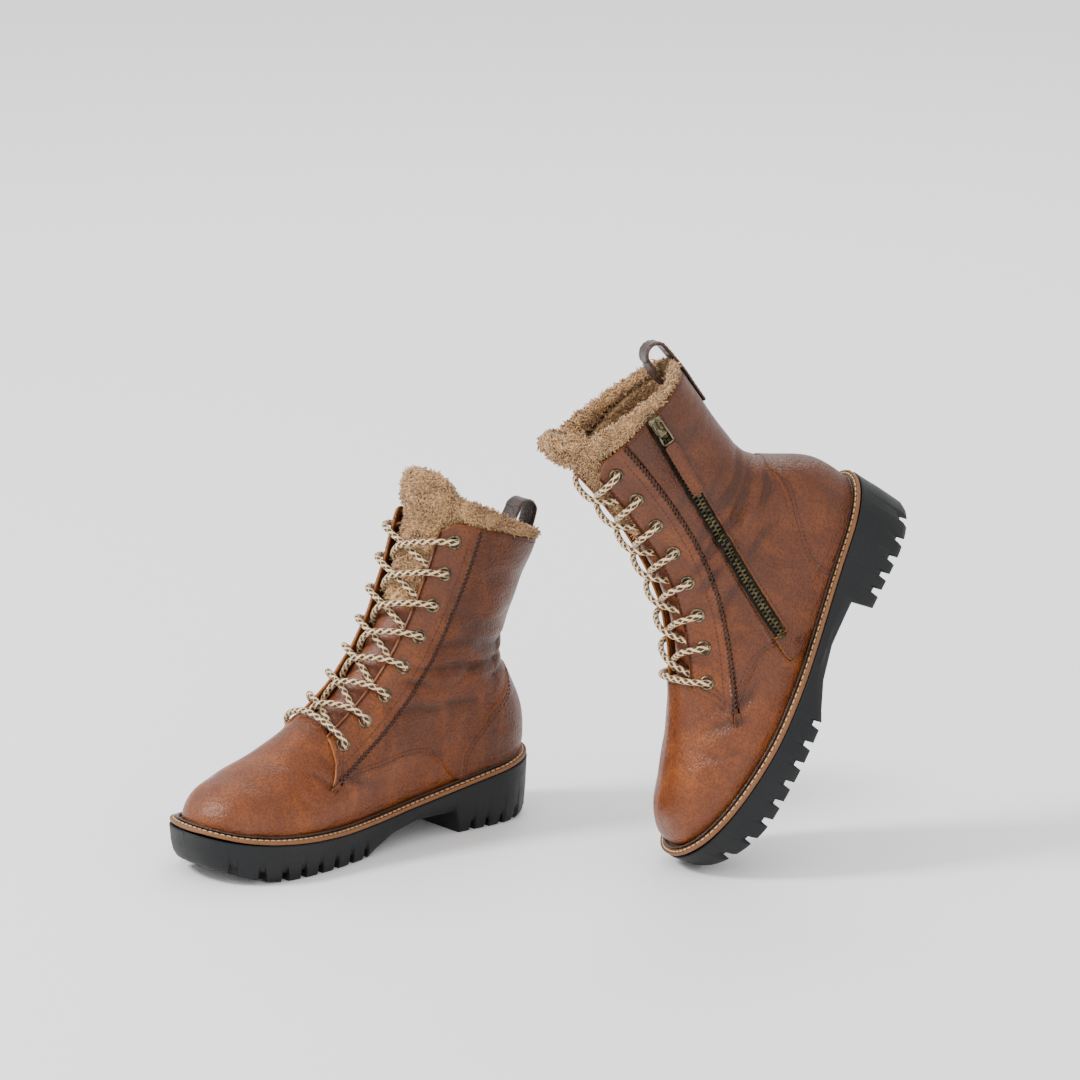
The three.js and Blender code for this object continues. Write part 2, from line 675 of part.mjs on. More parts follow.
function eyestay(side) {
  const panel = sheet(facingGrid(side, ROWS, [FACING_INSET, ...STRIP_INSETS, SEAM_INSET]), 0, LEATHER);
  const holes = EYELET_STATIONS.map((p) => alongAxis(
    eyeletAxis(p, side), 4, -LEATHER - 1.5, EYELET_BARREL + LAYER_GAP * 2, EYELET_SIDES,
  ));
  return cut(manifoldOf(panel), holes);
}

// Brass eyelets, clenched through the reinforcing strip behind the facing
function eyeletStrip(side) {
  const strip = sheet(facingGrid(side, ROWS.slice(1, -1), STRIP_INSETS), LEATHER + LAYER_GAP, RIM_THICKNESS);
  const axes = EYELET_STATIONS.map((p) => eyeletAxis(p, side));
  const solids = axes.flatMap((axis) => [
    alongAxis(axis, 0.5 + RIM_THICKNESS, -LEATHER - LAYER_GAP - 0.6, EYELET_BARREL, EYELET_SIDES),
    alongAxis(axis, 0.5 + RIM_THICKNESS, 0.5, EYELET_RIM, EYELET_SIDES),
  ]);
  const whole = manifoldOf(joined([manifoldOf(strip), ...solids]));
  return cut(whole, axes.map((axis) => alongAxis(axis, 5, -6, EYELET_HOLE, EYELET_SIDES)));
}

// ---------------------------------------------------------------- tongue and shearling

const TONGUE_DEPTH = 9;
const TONGUE_TOP = 12.75;
const TONGUE_JOIN = 8.7;       // where the leather face gives way to pile

function tongueGrid(from, to, reach, rows) {
  return steps(rows).map((v) => {
    const p = lerp(from, to, v);
    const roots = [1, 0.72, 0.4, 0].map((share) => reach * share ** 2);
    return [
      ...roots.map((inset) => [...fan(p, inset), 1]),
      ...roots.slice(0, -1).reverse().map((inset) => [...fan(p, inset), -1]),
    ];
  });
}

const tongue = () => sheet(tongueGrid(3.75, TONGUE_JOIN, 16, 7), TONGUE_DEPTH, LEATHER);

function tongueShearling() {
  const grid = tongueGrid(TONGUE_JOIN + 0.04, TONGUE_TOP, 15.5, 8);
  const proud = (v) => lerp(TONGUE_DEPTH, 1, THREE.MathUtils.smoothstep(v, 0.66, 0.86));
  const layer = (extra) => grid.map((row, r) => row.map(([y, z, side]) => (
    skin(y, z, side, proud(r / (grid.length - 1)) + extra)
  )));
  return slab(layer(0), layer(LINING + 2));
}

function quarterLining() {
  const front = chain([
    ...graded([[-42, 30], [-34, 54]]), fan(4.7, 33), fan(5.5, 25), fan(7, 23), fan(9, 23),
    fan(COLLAR - 0.15, 23),
  ].map(([y, z], i) => (i === 0 ? [y, feather(y) + EDGE] : [y, z])));
  const rows = 7;
  const columns = 5;
  const side = (sign) => steps(rows).map((v) => {
    const [y, z] = front(v);
    const zBack = lerp(feather(HEEL) + EDGE, COLLAR_BACK[1] - 3, v);
    return steps(columns).map((u) => {
      const eased = Math.sin((Math.PI / 2) * u);
      const zHere = v === 0 ? feather(lerp(y, HEEL, eased)) + EDGE : lerp(z, zBack, eased);
      return [lerp(y, back(zHere) - 0.02, eased), zHere, sign];
    });
  });
  const outer = side(1);
  const inner = side(-1);
  return sheet(outer.map((row, r) => [...row, ...inner[r].slice().reverse().slice(1)]), LINING_DEPTH, LINING);
}

const ROLL_FRONT = 33;         // where the collar pile starts, round from the middle

function collarShearling() {
  const columns = 7;
  const row = (lift, side) => steps(columns).map((u) => {
    const start = fan(COLLAR, ROLL_FRONT);
    const rise = 1 + lift * lerp(13, 6, u);
    const eased = Math.sin((Math.PI / 2) * u);
    const y = lerp(start[0], COLLAR_BACK[0], eased);
    const z = lerp(start[1], COLLAR_BACK[1], eased) + rise * grade.z;
    return [Math.min(y, back(z) - 0.02), z, side];
  });
  const grid = [0, 0.55, 1].map((lift) => [...row(lift, 1), ...row(lift, -1).reverse().slice(1)]);
  const depths = [[-0.5, 10.5], [-1.5, 11], [2, 8.5]];
  const layer = (which) => grid.map((places, r) => (
    places.map(([y, z, side]) => skin(y, z, side, depths[r][which]))
  ));
  return slab(layer(0), layer(1));
}

// ---------------------------------------------------------------- lace

const RIDE = 1.9;              // how far the lace's middle rides over a rim, past its radius

// The lace's route from one end to the other: in under the facings, out over the next eyelet
function laceRoute() {
  const at = (p, inset, side, depth) => skin(...fan(p, inset), side, depth);
  const strand = (k, side, high) => {
    const p = EYELET_STATIONS[k];
    const next = EYELET_STATIONS[k + 1];
    const over = -(LACE_RADIUS + RIDE);
    return [
      at(p, EYELET_INSET - 0.4, side, 5.6),
      at(lerp(p, next, 0.14), 7, side, 5.4),
      at(lerp(p, next, 0.5), 0, side, high ? -1.6 : 4.1),
      at(lerp(p, next, 0.86), 8.2, -side, over + 0.3),
      at(next, EYELET_INSET, -side, over - 0.6),
    ];
  };
  const half = (start) => {
    const points = [];
    for (let k = 0; k < EYELETS - 1; k += 1) {
      const side = k % 2 === 0 ? start : -start;
      points.push(...strand(k, side, side > 0));
    }
    const last = (EYELETS - 1) % 2 === 0 ? start : -start;
    points.push(at(EYELET_STATIONS[EYELETS - 1], EYELET_INSET - 0.6, last, 5.6));
    points.push(at(EYELET_STATIONS[EYELETS - 1] - 0.3, EYELET_INSET - 4.5, last, 5.9));
    return points;
  };
  const over = -(LACE_RADIUS + RIDE);
  const p = EYELET_STATIONS[0];
  const bar = [
    at(p, EYELET_INSET, 1, over - 0.6), at(p - 0.04, 8.2, 1, over + 0.2), at(p - 0.05, 0, 1, -2.4),
    at(p - 0.04, 8.2, -1, over + 0.2), at(p, EYELET_INSET, -1, over - 0.6),
  ];
  return [...half(1).reverse(), ...bar, ...half(-1)];
}

// A path whose even steps are the route's own points
class Route extends THREE.Curve {
  constructor(points) {
    super();
    this.points = points;
  }

  getPointAt(u, target = new THREE.Vector3()) {
    return target.copy(this.points[Math.round(u * (this.points.length - 1))]);
  }

  getPoint(t, target) {
    return this.getPointAt(t, target);
  }

  getTangentAt(u, target = new THREE.Vector3()) {
    const i = Math.round(u * (this.points.length - 1));
    const before = this.points[Math.max(i - 1, 0)];
    const here = this.points[i];
    const after = this.points[Math.min(i + 1, this.points.length - 1)];
    target.set(0, 0, 0);
    if (i > 0) target.add(here.clone().sub(before).normalize());
    if (i < this.points.length - 1) target.add(after.clone().sub(here).normalize());
    return target.normalize();
  }
}

function lace() {
  const route = laceRoute();
  const section = new THREE.Shape(Array.from({ length: 8 }, (_, i) => new THREE.Vector2(
    LACE_RADIUS * Math.cos((i * Math.PI) / 4), LACE_RADIUS * Math.sin((i * Math.PI) / 4),
  )));
  const settings = { steps: route.length - 1, extrudePath: new Route(route) };
  const geometry = new THREE.ExtrudeGeometry(section, settings);
  return geometryOf(manifoldOf(geometry));
}

// ---------------------------------------------------------------- zip

const TEETH_PROUD = 0.8;

const zipStrip = (halfWidth, foot, short, depth, thickness, rows) => {
  const reach = zipTopAt(0) - short;
  return sheet(steps(rows).map((v) => (
    [-1, 0, 1].map((share) => [...zipPoint(lerp(foot, reach, v), share * halfWidth), 1])
  )), depth, thickness);
};

const zipTape = () => zipStrip(TAPE_WIDTH / 2, -3, 4, LEATHER + LAP_GAP, 0.6, 9);
const zipTeeth = () => zipStrip(TEETH_WIDTH / 2, 0, 1.5, -TEETH_PROUD, TEETH_PROUD + LEATHER - 0.3, 10);

// Frame of the slider: across the zip, down the zip, and out from the leather
const SLIDER_FROM_TOP = 7;
const zipFrame = (() => {
  const high = zipTopAt(0);
  const top = skin(...zipPoint(high - SLIDER_FROM_TOP, 0), 1);
  const foot = skin(...zipPoint(8, 0), 1);
  const down = foot.clone().sub(top).normalize();
  const raw = normalAt(...zipPoint(high - SLIDER_FROM_TOP, 0), 1);
  const out = raw.addScaledVector(down, -raw.dot(down)).normalize();
  const across = down.clone().cross(out).normalize();
  const frame = new THREE.Matrix4().makeBasis(across, down, out);
  frame.setPosition(top);
  return frame;
})();

// Flat piece in the slider's frame, from an outline across and down the zip
function flatPiece(outline, from, thickness, hole) {
  const shape = new THREE.Shape(outline.map(([x, y]) => new THREE.Vector2(x, y)));
  if (hole) shape.holes.push(new THREE.Path(hole.map(([x, y]) => new THREE.Vector2(x, y))));
  const geometry = new THREE.ExtrudeGeometry(shape, { depth: thickness, bevelEnabled: false });
  geometry.translate(0, 0, from);
  geometry.applyMatrix4(zipFrame);
  return geometry;
}

const SLIDER_LIFT = TEETH_PROUD + 0.9;
const SLIDER_THICKNESS = 2.4;
const tapered = (wide, narrow, from, to, corner) => [
  [-wide + corner, from], [wide - corner, from], [wide, from + corner], [narrow, to - corner],
  [narrow - corner, to], [-narrow + corner, to], [-narrow, to - corner], [-wide, from + corner],
];

function zipSlider() {
  const body = manifoldOf(flatPiece(tapered(4.3, 3.3, -7, 7, 1.5), SLIDER_LIFT, SLIDER_THICKNESS));
  const crown = manifoldOf(flatPiece(tapered(1, 1, -2.5, 1.5, 0.4), SLIDER_LIFT + 1, SLIDER_THICKNESS + 1.6));
  return joined([body, crown]);
}

const PULLER_BASE = SLIDER_LIFT + SLIDER_THICKNESS + LAYER_GAP;
const PULLER_END = 13;

const zipPuller = () => geometryOf(manifoldOf(flatPiece(
  tapered(3.2, 4.2, -4.4, PULLER_END, 1.2), PULLER_BASE, 1.4,
  [[-1.7, -3.1], [1.7, -3.1], [2.6, PULLER_END - 1.8], [-2.6, PULLER_END - 1.8]],
)));

const leatherPull = () => geometryOf(manifoldOf(flatPiece(
  tapered(PULL_WIDTH / 2, PULL_WIDTH / 2 - 0.4, PULLER_END + LAYER_GAP, PULLER_END + PULL_LENGTH, 1),
  PULLER_BASE - 0.5, 2.2,
)));

// ---------------------------------------------------------------- heel loop

// Solid strap across the back from the middle line of its side view
function strap(middle, width, thickness) {
  const way = (i) => {
    const a = middle[Math.max(i - 1, 0)];
    const b = middle[Math.min(i + 1, middle.length - 1)];
    const size = Math.hypot(b[0] - a[0], b[1] - a[1]);
    return [(b[0] - a[0]) / size, (b[1] - a[1]) / size];
  };
  const offset = (amount) => middle.map(([y, z], i) => [y - way(i)[1] * amount, z + way(i)[0] * amount]);
  return crossPrism([...offset(thickness / 2), ...offset(-thickness / 2).reverse()], width / 2);
}

const LOOP_FOOT = 28;          // how far down the outside of the shaft the loop is sewn

function loopMiddle() {
  const half = LOOP_THICKNESS / 2;
  const outside = steps(4).map((t) => {
    const z = lerp(COLLAR_BACK[1] - LOOP_FOOT, COLLAR_BACK[1] + LOOP_RISE - 9, t);
    const lean = Math.max(z - COLLAR_BACK[1], 0) * 0.35;
    return [back(Math.min(z, COLLAR_BACK[1])) + lean + half + LOOP_STANDOFF, z];
  });
  const [yTop, zTop] = outside[outside.length - 1];
  const inside = [yTop - 22.6, COLLAR_BACK[1] - 1];
  const radius = 7.4;
  const bend = [20, 60, 100, 140, 170].map((deg) => {
    const angle = THREE.MathUtils.degToRad(deg);
    return [yTop - radius + radius * Math.cos(angle), zTop + 1.5 + radius * Math.sin(angle) * 0.9];
  });
  return [...outside, ...bend, [yTop - 20, COLLAR_BACK[1] + 9], inside];
}

const heelLoop = () => geometryOf(strap(loopMiddle(), LOOP_WIDTH, LOOP_THICKNESS));

function loopRivet() {
  const z = COLLAR_BACK[1] + 5;
  const face = back(COLLAR_BACK[1]) + (z - COLLAR_BACK[1]) * 0.35 + LOOP_THICKNESS + LOOP_STANDOFF;
  const lean = new THREE.Vector3(0, 1, -0.35).normalize();
  const from = new THREE.Vector3(0, face, z).addScaledVector(lean, LAYER_GAP + 0.1);
  return geometryOf(rod(from, from.clone().addScaledVector(lean, 1.4), 3, 12));
}

// ---------------------------------------------------------------- assembly

const FINISH = {
  leather: { color: 0x96501f, roughness: 0.42, metalness: 0 },
  shearling: { color: 0xb4966f, roughness: 0.95, metalness: 0 },
  rubber: { color: 0x1e2126, roughness: 0.7, metalness: 0 },
  welt: { color: 0x825a3c, roughness: 0.7, metalness: 0 },
  cork: { color: 0x9a7650, roughness: 0.9, metalness: 0 },
  board: { color: 0x8a6f4e, roughness: 0.9, metalness: 0 },
  steel: { color: 0x8f9296, roughness: 0.4, metalness: 1 },
  brass: { color: 0x6e6446, roughness: 0.4, metalness: 1 },
  tape: { color: 0x14120f, roughness: 0.9, metalness: 0 },
  lace: { color: 0xe1c8a0, roughness: 0.85, metalness: 0 },
  darkLeather: { color: 0x3c1e14, roughness: 0.5, metalness: 0 },
  nickel: { color: 0xc8c8c4, roughness: 0.25, metalness: 1 },
};

const PIECES = [
  ['outsole', outsole(), 'rubber'],
  ['welt', welt(), 'welt'],
  ['cork_filler', corkFiller(), 'cork'],
  ['shank', shankSolid(0), 'steel'],
  ['insole_board', insoleBoard(), 'board'],
  ['footbed', footbed(), 'shearling'],
  ['toe_puff', toePuff(), 'board'],
  ['heel_stiffener', heelStiffener(), 'board'],
  ['vamp', vamp(), 'leather'],
  ['vamp_lining', vampLining(), 'shearling'],
  ['inner_quarter', innerQuarter(), 'leather'],
  ['outer_front_quarter', outerFrontQuarter(), 'leather'],
  ['outer_rear_quarter', outerRearQuarter(), 'leather'],
  ['heel_counter', heelCounter(), 'leather'],
  ['inner_eyestay', eyestay(-1), 'leather'],
  ['outer_eyestay', eyestay(1), 'leather'],
  ['inner_eyelets', eyeletStrip(-1), 'brass'],
  ['outer_eyelets', eyeletStrip(1), 'brass'],
  ['tongue', tongue(), 'leather'],
  ['tongue_shearling', tongueShearling(), 'shearling'],
  ['quarter_lining', quarterLining(), 'shearling'],
  ['collar_shearling', collarShearling(), 'shearling'],
  ['lace', lace(), 'lace'],
  ['zip_tape', zipTape(), 'tape'],
  ['zip_teeth', zipTeeth(), 'brass'],
  ['zip_slider', zipSlider(), 'brass'],
  ['zip_puller', zipPuller(), 'brass'],
  ['leather_pull', leatherPull(), 'leather'],
  ['heel_loop', heelLoop(), 'darkLeather'],
  ['loop_rivet', loopRivet(), 'nickel'],
];

function boot(prefix) {
  const group = new THREE.Group();
  PIECES.forEach(([name, geometry, finish]) => {
    const mesh = new THREE.Mesh(geometry, new THREE.MeshStandardMaterial(FINISH[finish]));
    mesh.name = `${prefix}_${name}`;
    group.add(mesh);
  });
  return group;
}

const rightBoot = boot('right');
rightBoot.scale.x = -1;

const leftBoot = boot('left');
leftBoot.rotation.set(
  THREE.MathUtils.degToRad(STEP.pitch),
  THREE.MathUtils.degToRad(STEP.roll),
  THREE.MathUtils.degToRad(STEP.yaw),
  'ZYX',
);
leftBoot.position.set(STEP.x * grade.y, STEP.y * grade.y, 0);
leftBoot.updateMatrixWorld(true);
leftBoot.position.z -= new THREE.Box3().setFromObject(leftBoot, true).min.z;

const pair = new THREE.Group();
pair.add(rightBoot, leftBoot);
pair.updateMatrixWorld(true);

// Origin at the middle of the pair's footprint, on the floor
const extent = new THREE.Box3().setFromObject(pair, true);
const middle = extent.getCenter(new THREE.Vector3());
pair.position.set(-middle.x, -middle.y, -extent.min.z);

export default pair;
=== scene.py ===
"""A pair of shearling-lined winter boots, one standing flat and one up on its toe in mid step.

Each boot is drawn once, in millimetres, as the left one: toe towards -Y, +Z up, outer side +X.
Its pieces are then set down twice, mirrored for the standing right boot and turned for the left.
"""

import math
import bpy
import numpy as np
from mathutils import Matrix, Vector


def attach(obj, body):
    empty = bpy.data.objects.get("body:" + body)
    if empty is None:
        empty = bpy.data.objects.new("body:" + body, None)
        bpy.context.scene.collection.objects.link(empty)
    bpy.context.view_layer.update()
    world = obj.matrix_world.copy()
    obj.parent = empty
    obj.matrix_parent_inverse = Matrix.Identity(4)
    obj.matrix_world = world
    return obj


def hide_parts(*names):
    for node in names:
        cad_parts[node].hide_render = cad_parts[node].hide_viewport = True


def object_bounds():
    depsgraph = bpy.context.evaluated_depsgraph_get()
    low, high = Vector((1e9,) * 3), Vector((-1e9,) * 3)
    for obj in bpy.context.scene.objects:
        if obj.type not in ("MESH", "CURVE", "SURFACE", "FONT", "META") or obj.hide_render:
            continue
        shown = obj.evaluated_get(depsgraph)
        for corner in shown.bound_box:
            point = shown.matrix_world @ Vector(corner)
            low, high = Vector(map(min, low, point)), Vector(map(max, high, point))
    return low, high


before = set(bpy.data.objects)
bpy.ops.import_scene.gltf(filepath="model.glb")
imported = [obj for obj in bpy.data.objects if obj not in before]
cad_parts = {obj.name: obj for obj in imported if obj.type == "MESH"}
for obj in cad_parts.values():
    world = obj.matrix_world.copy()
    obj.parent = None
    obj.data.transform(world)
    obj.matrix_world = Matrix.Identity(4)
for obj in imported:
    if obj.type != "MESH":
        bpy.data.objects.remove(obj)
cad_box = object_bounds()
scene = bpy.context.scene

# ---------------------------------------------------------------- where the two boots stand

RIGHT_PLACE = np.array([-100.448221, -77.045153, 0.0])
LEFT_TURN = np.array([
    [0.93107, 0.085949, -0.354571],
    [-0.346262, 0.514342, -0.784573],
    [0.114937, 0.853267, 0.508649],
])
LEFT_PLACE = np.array([110.551779, 145.454847, 112.858039])


def set_down(points, side):
    """Points of the drawn boot, in millimetres, to the row frame in metres."""
    points = np.asarray(points, float)
    if side == "right":
        return (points * [-1, 1, 1] + RIGHT_PLACE) * 0.001
    return (points @ LEFT_TURN.T + LEFT_PLACE) * 0.001


# ---------------------------------------------------------------- the last

TOE, TOE_ROUND, TOE_CAP = -136.5, 44.0, 26.0
COLLAR = 11.5
TOP_LINE = np.array([
    [0, -136.5, 57, 0, 40, 40], [1, -112, 63, 0, 40, 42], [2, -88, 71.5, 2, 46, 42], [3, -66, 80.5, 8, 54, 41],
    [4, -44, 92, 18, 60, 39], [5, -24, 104.5, 29, 60, 36.5], [6, -6, 119.5, 40, 56, 35], [7, 8, 135, 50, 53, 35],
    [8, 19, 151, 59, 51, 35.5], [9, 29, 170, 66, 50, 37], [10, 38, 191, 70, 50, 39], [11, 45, 210, 72, 50, 41],
    [12, 52, 232, 73, 50, 42], [13, 58, 254, 73, 50, 43],
], float)
TOP_LINE[:, 3] = np.radians(TOP_LINE[:, 3])
FEATHER = [[-140, 38], [-120, 33], [-90, 28.5], [-60, 26], [-30, 25], [0, 26], [30, 29], [60, 33.5], [90, 38.5],
           [120, 43], [142, 46]]
OUTER_HALF = [[-137, 36], [-112, 39], [-80, 45], [-48, 47], [-10, 42], [25, 36.5], [60, 33], [95, 32.5], [140, 32]]
INNER_HALF = [[-137, 38], [-112, 41], [-80, 44.5], [-50, 42.5], [-10, 34.5], [25, 29.5], [60, 30], [95, 32],
              [140, 32]]
BACK_LINE = [[40, 133], [50, 135.5], [62, 136.5], [74, 135.5], [86, 131.5], [98, 125.5], [110, 120], [118, 118.5],
             [126, 119.5], [140, 124], [155, 130.5], [170, 137.5], [185, 145], [200, 151], [235, 162]]


def through(rows, x):
    """Smooth curve through rows of position and values."""
    rows = np.asarray(rows, float)
    key, values = rows[:, 0], rows[:, 1:]
    x = np.clip(np.asarray(x, float), key[0], key[-1])
    i = np.clip(np.searchsorted(key, x, side="right") - 1, 0, len(key) - 2)
    before, after = np.maximum(np.arange(len(key)) - 1, 0), np.minimum(np.arange(len(key)) + 1, len(key) - 1)
    slope = (values[after] - values[before]) / (key[after] - key[before])[:, None]
    span = (key[i + 1] - key[i])[..., None]
    t = (x - key[i])[..., None] / span
    return ((1 + 2 * t) * (1 - t) ** 2 * values[i] + t * (1 - t) ** 2 * span * slope[i]
            + t * t * (3 - 2 * t) * values[i + 1] + t * t * (t - 1) * span * slope[i + 1])


def feather(y):
    return through(FEATHER, y)[..., 0]


def back(z):
    return through(BACK_LINE, z)[..., 0]


def rounding(q, power):
    return (1 - (1 - np.clip(q, 0, 1)) ** power) ** (1 / power)


def smooth(x, low, high):
    t = np.clip((x - low) / (high - low), 0, 1)
    return t * t * (3 - 2 * t)


def station(p):
    y, height, tilt, reach, half = np.moveaxis(through(TOP_LINE, p), -1, 0)
    edge = feather(y)
    z = edge + (height - edge) * rounding((y - TOE) / TOE_CAP, 2.3)
    full = np.where(np.asarray(p) < 3, np.minimum(reach, np.maximum(z - edge, 4)), reach)
    return y, z, tilt, full, half


def fan(p, inset):
    y, z, tilt, _, _ = station(p)
    return y + inset * np.sin(tilt), z - inset * np.cos(tilt)


def locate(y, z):
    low, high = np.zeros_like(y), np.full_like(y, 13.0)
    for _ in range(26):
        p = (low + high) / 2
        sy, sz, tilt, _, _ = station(p)
        past = (y - sy) * np.cos(tilt) + (z - sz) * np.sin(tilt) > 0
        low, high = np.where(past, p, low), np.where(past, high, p)
    sy, sz, tilt, reach, half = station((low + high) / 2)
    return tilt, reach, half, (y - sy) * np.sin(tilt) - (z - sz) * np.cos(tilt)


# Folds worn into the leather: from, to, how deep (a ridge is negative), how wide
FOLDS = [
    ((16, 113), (74, 103), 1.5, 3.4), ((30, 106), (92, 97), -1.1, 3.6), ((24, 124), (84, 117), 1.3, 3.4),
    ((34, 117), (98, 109), -1.2, 3.8), ((40, 132), (104, 126), 1.0, 3.8), ((62, 112), (116, 119), 1.7, 3.2),
    ((76, 126), (121, 130), 1.2, 3.6), ((84, 104), (119, 108), 1.2, 3.2), ((48, 96), (88, 88), 1.0, 3.6),
    ((8, 96), (52, 88), 0.9, 3.6), ((60, 142), (112, 141), 0.8, 4.6), ((44, 158), (92, 152), 0.6, 5.2),
    ((-62, 66), (-38, 44), 0.9, 3.6), ((-48, 70), (-22, 48), 0.7, 3.4), ((-76, 62), (-58, 40), 0.6, 4.4),
    ((-34, 60), (0, 42), 0.6, 4.6), ((78, 172), (128, 168), 0.5, 6.0), ((88, 60), (120, 70), -0.5, 8.0),
]


def folds(y, z, side):
    """How far the leather is pressed in."""
    total = np.zeros_like(y)
    for k, ((y0, z0), (y1, z1), deep, wide) in enumerate(FOLDS):
        shift = np.where(side > 0, 0.0, 2.6 * math.sin(k * 2.1))
        run = math.hypot(y1 - y0, z1 - z0)
        uy, uz = (y1 - y0) / run, (z1 - z0) / run
        along = ((y - y0) * uy + (z - z0 - shift) * uz) / run
        bow = 2.6 * math.sin(k * 1.7) * np.sin(np.pi * np.clip(along, 0, 1)) + 0.7 * np.sin(along * 9 + k)
        across = (y - y0) * -uz + (z - z0 - shift) * uy - bow
        total += 1.65 * deep * np.exp(-(across / wide) ** 2) * smooth(along, -0.12, 0.3) * smooth(-along, -1.15, -0.62)
    soft = 0.32 * np.sin(y * 0.071 + side * 1.3) * np.sin(z * 0.083 + 0.7) + 0.16 * np.sin(y * 0.19 + z * 0.13 + side)
    return total + soft


def skin(y, z, side, depth=0.0, worn=1.0):
    """Points of the boot's surface seen at (y, z) from one side, a depth below the leather's face."""
    y, z, side, depth = np.broadcast_arrays(*(np.asarray(a, float) for a in (y, z, side, depth)))
    depth = depth + worn * folds(y, z, side)
    tilt, reach, s_half, inset = locate(y, z)
    q = np.clip(inset / reach, 0, 1)
    b = np.clip((back(z) - y) / (36 + 14 * smooth(z, 80, 140)), 0, 1)
    t = np.clip((y - TOE) / TOE_ROUND, 0, 1)
    low = np.where(side > 0, through(OUTER_HALF, y)[..., 0], through(INNER_HALF, y)[..., 0])
    above = z - feather(y)
    swell = 1 + 0.05 * np.sin(np.pi * np.clip(above / 45, 0, 1))
    wide = (low + (s_half - low) * smooth(above, 12, 62)) * swell - depth
    half = wide * rounding(q, 2.05) * rounding(b, 2.15) * rounding(t, 2.3)
    push = depth * (1 - q) * rounding((y - TOE) / TOE_CAP, 2.3)
    return np.stack([side * half, y + push * np.sin(tilt) - depth * (1 - b) + depth * (1 - t),
                     z - push * np.cos(tilt)], -1)


def outward(y, z, side):
    step = 0.8
    along = skin(y + step, z, side, worn=0) - skin(y - step, z, side, worn=0)
    up = skin(y, z + step, side, worn=0) - skin(y, z - step, side, worn=0)
    n = np.cross(along, up) * np.asarray(side, float)[..., None]
    return n / np.maximum(np.linalg.norm(n, axis=-1, keepdims=True), 1e-9)


# ---------------------------------------------------------------- finishes

class Finish:
    """One procedural material."""

    def __init__(self, name, solid=False):
        self.material = bpy.data.materials.new(name)
        self.material.use_nodes = True
        self.tree = self.material.node_tree
        self.tree.nodes.clear()
        out = self.node("ShaderNodeOutputMaterial")
        self.shader = self.node("ShaderNodeBsdfPrincipled")
        self.tree.links.new(self.shader.outputs[0], out.inputs[0])
        if solid:
            self.place = self.node("ShaderNodeTexCoord").outputs["Object"]
        else:
            self.place = self.node("ShaderNodeAttribute", attribute_name="place").outputs["Vector"]

    def node(self, kind, **settings):
        made = self.tree.nodes.new(kind)
        for key, value in settings.items():
            setattr(made, key, value)
        return made

    def feed(self, socket, value):
        if isinstance(value, bpy.types.NodeSocket):
            self.tree.links.new(value, socket)
        else:
            socket.default_value = value

    def noise(self, scale, detail=3.0, rough=0.5, vector=None, stretch=None):
        made = self.node("ShaderNodeTexNoise")
        source = vector or self.place
        if stretch:
            source = self.stretched(source, stretch)
        self.feed(made.inputs["Vector"], source)
        made.inputs["Scale"].default_value = scale
        made.inputs["Detail"].default_value = detail
        made.inputs["Roughness"].default_value = rough
        return made.outputs["Fac"]

    def stretched(self, vector, amount):
        made = self.node("ShaderNodeMapping")
        self.feed(made.inputs["Vector"], vector)
        made.inputs["Scale"].default_value = amount
        return made.outputs[0]

    def cells(self, scale, vector=None, feature="F1", jitter=1.0):
        made = self.node("ShaderNodeTexVoronoi", feature=feature)
        self.feed(made.inputs["Vector"], vector or self.place)
        made.inputs["Scale"].default_value = scale
        made.inputs["Randomness"].default_value = jitter
        return made.outputs["Distance"]

    def attribute(self, name):
        return self.node("ShaderNodeAttribute", attribute_name=name).outputs["Fac"]

    def maths(self, kind, a, b=0.0, clamp=False):
        made = self.node("ShaderNodeMath", operation=kind, use_clamp=clamp)
        self.feed(made.inputs[0], a)
        self.feed(made.inputs[1], b)
        return made.outputs[0]

    def spread(self, value, low, high, to_low=0.0, to_high=1.0):
        made = self.node("ShaderNodeMapRange", interpolation_type="SMOOTHSTEP")
        self.feed(made.inputs["Value"], value)
        for key, amount in zip(("From Min", "From Max", "To Min", "To Max"), (low, high, to_low, to_high)):
            made.inputs[key].default_value = amount
        return made.outputs["Result"]

    def colours(self, share, a, b, way="MIX"):
        made = self.node("ShaderNodeMix", data_type="RGBA", blend_type=way)
        self.feed(made.inputs[0], share)
        self.feed(made.inputs[6], a)
        self.feed(made.inputs[7], b)
        return made.outputs[2]

    def bump(self, height, distance, strength=1.0, before=None):
        made = self.node("ShaderNodeBump")
        self.feed(made.inputs["Height"], height)
        made.inputs["Distance"].default_value = distance
        made.inputs["Strength"].default_value = strength
        if before:
            self.feed(made.inputs["Normal"], before)
        return made.outputs[0]

    def set(self, **values):
        names = {"colour": "Base Color", "rough": "Roughness", "metal": "Metallic", "normal": "Normal",
                 "coat": "Coat Weight", "coat_rough": "Coat Roughness", "sheen": "Sheen Weight",
                 "sheen_rough": "Sheen Roughness", "gloss": "Specular IOR Level", "ior": "IOR",
                 "sheen_tint": "Sheen Tint"}
        for key, value in values.items():
            self.feed(self.shader.inputs[names[key]], value)
        return self.material


def tone(r, g, b):
    """Colour as it is seen, 0 to 255, to the shader's linear values."""
    return tuple(c / 12.92 if c <= 0.04045 else ((c + 0.055) / 1.055) ** 2.4
                 for c in (r / 255, g / 255, b / 255)) + (1.0,)


